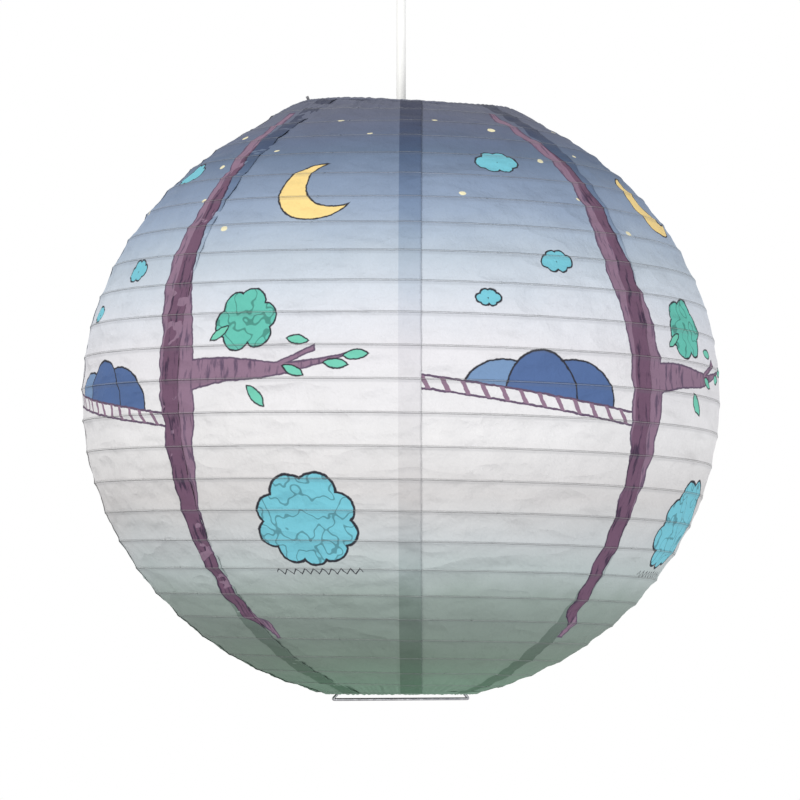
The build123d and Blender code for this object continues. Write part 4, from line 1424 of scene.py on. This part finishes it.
# ---- Fittings ------------------------------------------------------------------------------
@dataclass
class CeilingCup:
    """Spun cup that hides the wiring at the ceiling.

    Attributes:
        wall: Thickness of its wall.
        hole: Radius of the hole for the cord.
        steps: Faces round it.
    """

    wall: float = 0.0018
    hole: float = 0.0066
    steps: int = 128

    def build(self, material: Material) -> Piece:
        """Makes the cup.

        Args:
            material: Satin paint.

        Returns:
            The cup's object.
        """
        low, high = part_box("ceiling_cup")
        radius = high[0]
        height = high[2] - low[2]
        corners = [
            (self.hole, low[2]),
            (radius * 0.42, low[2]),
            (radius * 0.62, low[2] + height * 0.04),
            (radius * 0.88, low[2] + height * 0.30),
            (radius * 0.985, low[2] + height * 0.58),
            (radius * 0.985, high[2] - 0.0030),
            (radius, high[2] - 0.0024),
            (radius, high[2]),
        ]
        shape = spun(rounded(corners, 0.012, 8), self.steps)
        piece = object_from("cup_shell", shape, material)
        smooth(piece)
        thicken(piece, self.wall)
        return piece


@dataclass
class PendantCord:
    """Taut round cord from the lampholder's nipple up into the cord grip.

    Attributes:
        diameter: Diameter of its sheath.
        points: Points along its curve.
    """

    diameter: float = 0.006
    points: int = 5

    def build(self, material: Material) -> Piece:
        """Args:
            material: White sheath.

        Returns:
            The cord's object.
        """
        low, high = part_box("pendant_cord")
        data = bpy.data.curves.new("hanging_cord", "CURVE")
        data.dimensions = "3D"
        data.bevel_depth = self.diameter / 2
        data.bevel_resolution = 6
        data.use_fill_caps = True
        data.resolution_u = 12
        data.materials.append(material)
        spline = data.splines.new("NURBS")
        spline.points.add(self.points - 1)
        for index, point in enumerate(spline.points):
            height = low[2] + (high[2] - low[2]) * index / (self.points - 1)
            point.co = (0.0, 0.0, height, 1.0)
        spline.order_u = 3
        spline.use_endpoint_u = True
        piece = placed("hanging_cord", data)
        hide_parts("pendant_cord")
        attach(piece, Body.CORD.value)
        return piece


# ---- Studio --------------------------------------------------------------------------------
# Name, bearing, distance, height, size, power and tint of each soft box.
LIGHTS = (
    ("key_box", -36.0, 2.2, 0.9, 0.9, 26.0, (1.0, 0.99, 0.97)),
    ("fill_box", 48.0, 2.6, -0.7, 1.4, 26.0, (0.97, 0.98, 1.0)),
    ("rear_box", 178.0, 2.6, 1.6, 1.6, 14.0, (1.0, 1.0, 1.0)),
)


@dataclass
class Studio:
    """Camera, soft boxes and an even white world.

    Attributes:
        distance: From the camera to the lantern's axis.
        height: The camera's height.
        pitch_deg: How far the camera looks up.
        yaw_deg: How far it looks to the left of the axis.
        lens: Focal length in millimetres.
        ambient: Strength of the even light from all round.
    """

    distance: float = 2.704
    height: float = -0.4704
    pitch_deg: float = 3.285
    yaw_deg: float = 0.015
    lens: float = 193.75
    ambient: float = 0.84

    def camera(self) -> None:
        """Makes the camera and makes it the scene's own."""
        data = bpy.data.cameras.new("studio_camera")
        data.lens = self.lens
        data.sensor_width = 36.0
        data.clip_end = 50.0
        eye = placed("studio_camera", data)
        turn = math.radians(FRONT_DEG)
        eye.location = (self.distance * math.cos(turn), self.distance * math.sin(turn), self.height)
        yaw = turn + math.pi / 2 + math.radians(self.yaw_deg)
        eye.rotation_euler = (math.pi / 2 + math.radians(self.pitch_deg), 0.0, yaw)
        bpy.context.scene.camera = eye

    def area(
        self, name: str, bearing: float, distance: float, height: float, size: float, power: float, tint: RGB
    ) -> None:
        """Adds a soft box aimed at the lantern.

        Args:
            name: The light's name.
            bearing: Its angle from the camera's side, in degrees, to the right.
            distance: Its distance from the lantern.
            height: Its height over the lantern's middle.
            size: Width of the box.
            power: Its power in watts.
            tint: Its colour.
        """
        data = bpy.data.lights.new(name, "AREA")
        data.shape = "SQUARE"
        data.size = size
        data.energy = power
        data.color = tint
        lamp = placed(name, data)
        turn = math.radians(FRONT_DEG + bearing)
        middle = Vector((0.0, 0.0, CENTRE_Z))
        lamp.location = middle + Vector((distance * math.cos(turn), distance * math.sin(turn), height))
        lamp.rotation_euler = (middle - lamp.location).to_track_quat("-Z", "Y").to_euler()

    def build(self) -> None:
        """Makes the world and the lights."""
        world = bpy.data.worlds.new("studio_world")
        world.use_nodes = True
        wire = Wiring(world.node_tree)
        sky = world.node_tree.nodes["Background"]
        seen = wire.add("ShaderNodeLightPath").outputs["Is Camera Ray"]
        wire.feed(sky.inputs["Color"], (1.0, 1.0, 1.0))
        wire.feed(sky.inputs["Strength"], wire.line(seen, 1.0 - self.ambient, self.ambient))
        bpy.context.scene.world = world
        bpy.context.scene.view_settings.view_transform = "Standard"
        for box in LIGHTS:
            self.area(*box)


# ---- Assembly ------------------------------------------------------------------------------
WHITE_PLASTIC = Finish("moulded_white", srgb(238, 238, 235), roughness=0.32, coat=0.15, mottle=0.05)
SHEATH = Finish("cord_sheath", srgb(240, 240, 238), roughness=0.42, mottle=0.04, bump=0.00001)
SPRING_STEEL = metal("spring_steel", srgb(138, 138, 142), 0.4, (300.0, 300.0, 18.0))
RIB_STEEL = metal("rib_steel", srgb(205, 205, 203), 0.34)
CUP_PAINT = Finish("satin_paint", srgb(240, 240, 237), roughness=0.38, coat=0.25, mottle=0.05)
ZINC = metal("zinc_plate", srgb(178, 182, 186), 0.4, (60.0, 900.0, 60.0))
CHROME = metal("bright_screw", srgb(214, 216, 220), 0.16)
BRASS = metal("stamped_brass", srgb(212, 178, 104), 0.28)
STEATITE = Finish("steatite", srgb(232, 226, 214), roughness=0.62, mottle=0.10, bump=0.00004)
BLOCK = Finish("block_polymer", srgb(226, 226, 216), roughness=0.5, mottle=0.08)
CORE = Finish("core_sleeve", srgb(74, 98, 158), roughness=0.35, coat=0.2)
OPAL = Finish("opal_shell", srgb(248, 248, 244), roughness=0.22, coat=0.4, mottle=0.03, transmission=0.12)
COLLAR = Finish("lamp_collar", srgb(236, 236, 233), roughness=0.45, mottle=0.05)
ROLLED = metal("rolled_cap", srgb(200, 202, 206), 0.25, (60.0, 60.0, 900.0))
BEAD = Finish("glass_bead", srgb(26, 26, 30), roughness=0.12, coat=0.5, mottle=0.1)

DRESSED: tuple[tuple[Finish, tuple[str, ...]], ...] = (
    (WHITE_PLASTIC, ("holder_cap", "holder_body", "shade_nut", "cord_grip", "grip_nut")),
    (SPRING_STEEL, ("frame_arm",)),
    (RIB_STEEL, ("bottom_ring",)),
    (ZINC, ("ceiling_plate", "terminal_screws")),
    (CHROME, ("cup_screw_left", "cup_screw_right", "clamp_screw")),
    (BRASS, ("screw_shell", "centre_contact", "holder_terminals")),
    (STEATITE, ("contact_carrier",)),
    (BLOCK, ("terminal_block",)),
    (CORE, ("ceiling_cores", "holder_cores")),
    (OPAL, ("bulb_globe",)),
    (COLLAR, ("bulb_collar",)),
    (ROLLED, ("bulb_cap", "bulb_tip")),
    (BEAD, ("bulb_insulator",)),
)


@dataclass
class Lantern:
    """Builds and dresses every piece of the lantern.

    Attributes:
        globe: Shape of the paper.
        keep: Share of its height that the paper keeps when the top ring is down; not used.
        squeeze: Share of its width that the sprung frame keeps then; not used.
        hoop_wire: Diameter of the top ring's wire.
        hoop_steps: Straight pieces in that ring.
        rib_wire: Diameter of the rib's wire.
        rib_inset: From the oval to the middle of the rib's wire.
        rib_margin: From a mouth to the rib's end, along the paper.
        rib_steps: Straight pieces in a turn of the rib.
    """

    globe: Globe = field(default_factory=Globe)
    keep: float = 0.09
    squeeze: float = 0.955
    hoop_wire: float = 0.002
    hoop_steps: int = 180
    rib_wire: float = 0.001
    rib_inset: float = 0.0011
    rib_margin: float = 0.010
    rib_steps: int = 72

    def __post_init__(self) -> None:
        """Builds the shared surface groups and keeps each material once."""
        self.groups = {Recipe.MOULDED: fine_wear_group(), Recipe.DRAWN: drawn_wire_group()}
        self.materials: dict[Finish, Material] = {}

    def finish(self, finish: Finish) -> Material:
        """The material of a finish, made on first use."""
        if finish not in self.materials:
            self.materials[finish] = finish.build(self.groups)
        return self.materials[finish]

    def cord(self) -> None:
        """Makes the cord."""
        PendantCord().build(self.finish(SHEATH))
        log.info("cord made")

    def paper(self) -> None:
        """Makes the gores and hems."""
        skin = PaperSkin(self.globe)
        papers = [PrintedPaper().build(Palette(), half, skin.lap) for half in Half]
        for index, gore in enumerate(skin.build(papers)):
            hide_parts(f"paper_gore_{index + 1}")
            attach(gore, Body.LAMP.value)
            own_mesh(gore)
            log.info("%s made", gore.name)
        for name, node, ring, upward, body in (
            ("hem_top", "top_hem", "top_ring", 1, Body.TOP_HOOP),
            ("hem_bottom", "bottom_hem", "bottom_ring", -1, Body.LAMP),
        ):
            hem = Hem(name, node, self.globe, ring, upward).build(papers[0])
            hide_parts(node)
            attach(hem, body.value)
            log.info("%s made", name)

    def wires(self) -> None:
        """Makes the sprung frame and the top ring."""
        spring = SpringFrame().build(self.finish(SPRING_STEEL))
        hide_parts("frame_loop")
        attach(spring, Body.LAMP.value)
        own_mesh(spring)
        log.info("sprung frame made")
        radius, height = SpringFrame().ring("top_ring")
        points = []
        for step in range(self.hoop_steps):
            turn = 2 * math.pi * step / self.hoop_steps
            lift = self.globe.lift(math.degrees(turn), self.globe.top_arc)
            points.append(Vector((radius * math.cos(turn), radius * math.sin(turn), height + lift)))
        hoop = tube_along("hoop_top", points, self.hoop_wire, self.finish(RIB_STEEL), closed=True)
        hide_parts("top_ring")
        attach(hoop, Body.TOP_HOOP.value)
        log.info("top ring made")

    def rib(self) -> None:
        """Makes the spiral rib inside the paper."""
        globe = self.globe
        top, bottom = globe.top_arc - self.rib_margin, globe.bottom_arc + self.rib_margin
        count = round((top - bottom) / globe.pitch * self.rib_steps)
        points = []
        for index in range(count + 1):
            arc = top - (top - bottom) * index / count
            degrees = globe.rib_deg - 360 * arc / globe.pitch
            points.append(globe.place(degrees, arc, -self.rib_inset))
        rib = tube_along("rib_spiral", points, self.rib_wire, self.finish(RIB_STEEL), sides=8)
        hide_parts("spiral_rib")
        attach(rib, Body.LAMP.value)
        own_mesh(rib)
        log.info("rib made")

    def cup(self) -> None:
        """Makes the ceiling cup."""
        cup = CeilingCup().build(self.finish(CUP_PAINT))
        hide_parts("ceiling_cup")
        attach(cup, Body.ROOT.value)
        log.info("cup made")

    def dress(self) -> None:
        """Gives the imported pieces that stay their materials."""
        for finish, names in DRESSED:
            for name in names:
                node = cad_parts[name]
                node.data.materials.clear()
                node.data.materials.append(self.finish(finish))
                log.info("%s dressed in %s", name, finish.name)


def main() -> None:
    """Builds the studio and the lantern, in order."""
    logging.basicConfig(level=logging.INFO, format="%(name)s: %(message)s")
    studio = Studio()
    studio.camera()
    lantern = Lantern()
    lantern.cord()
    lantern.paper()
    lantern.wires()
    lantern.rib()
    lantern.cup()
    lantern.dress()
    studio.build()


if __name__ == "__main__":
    main()
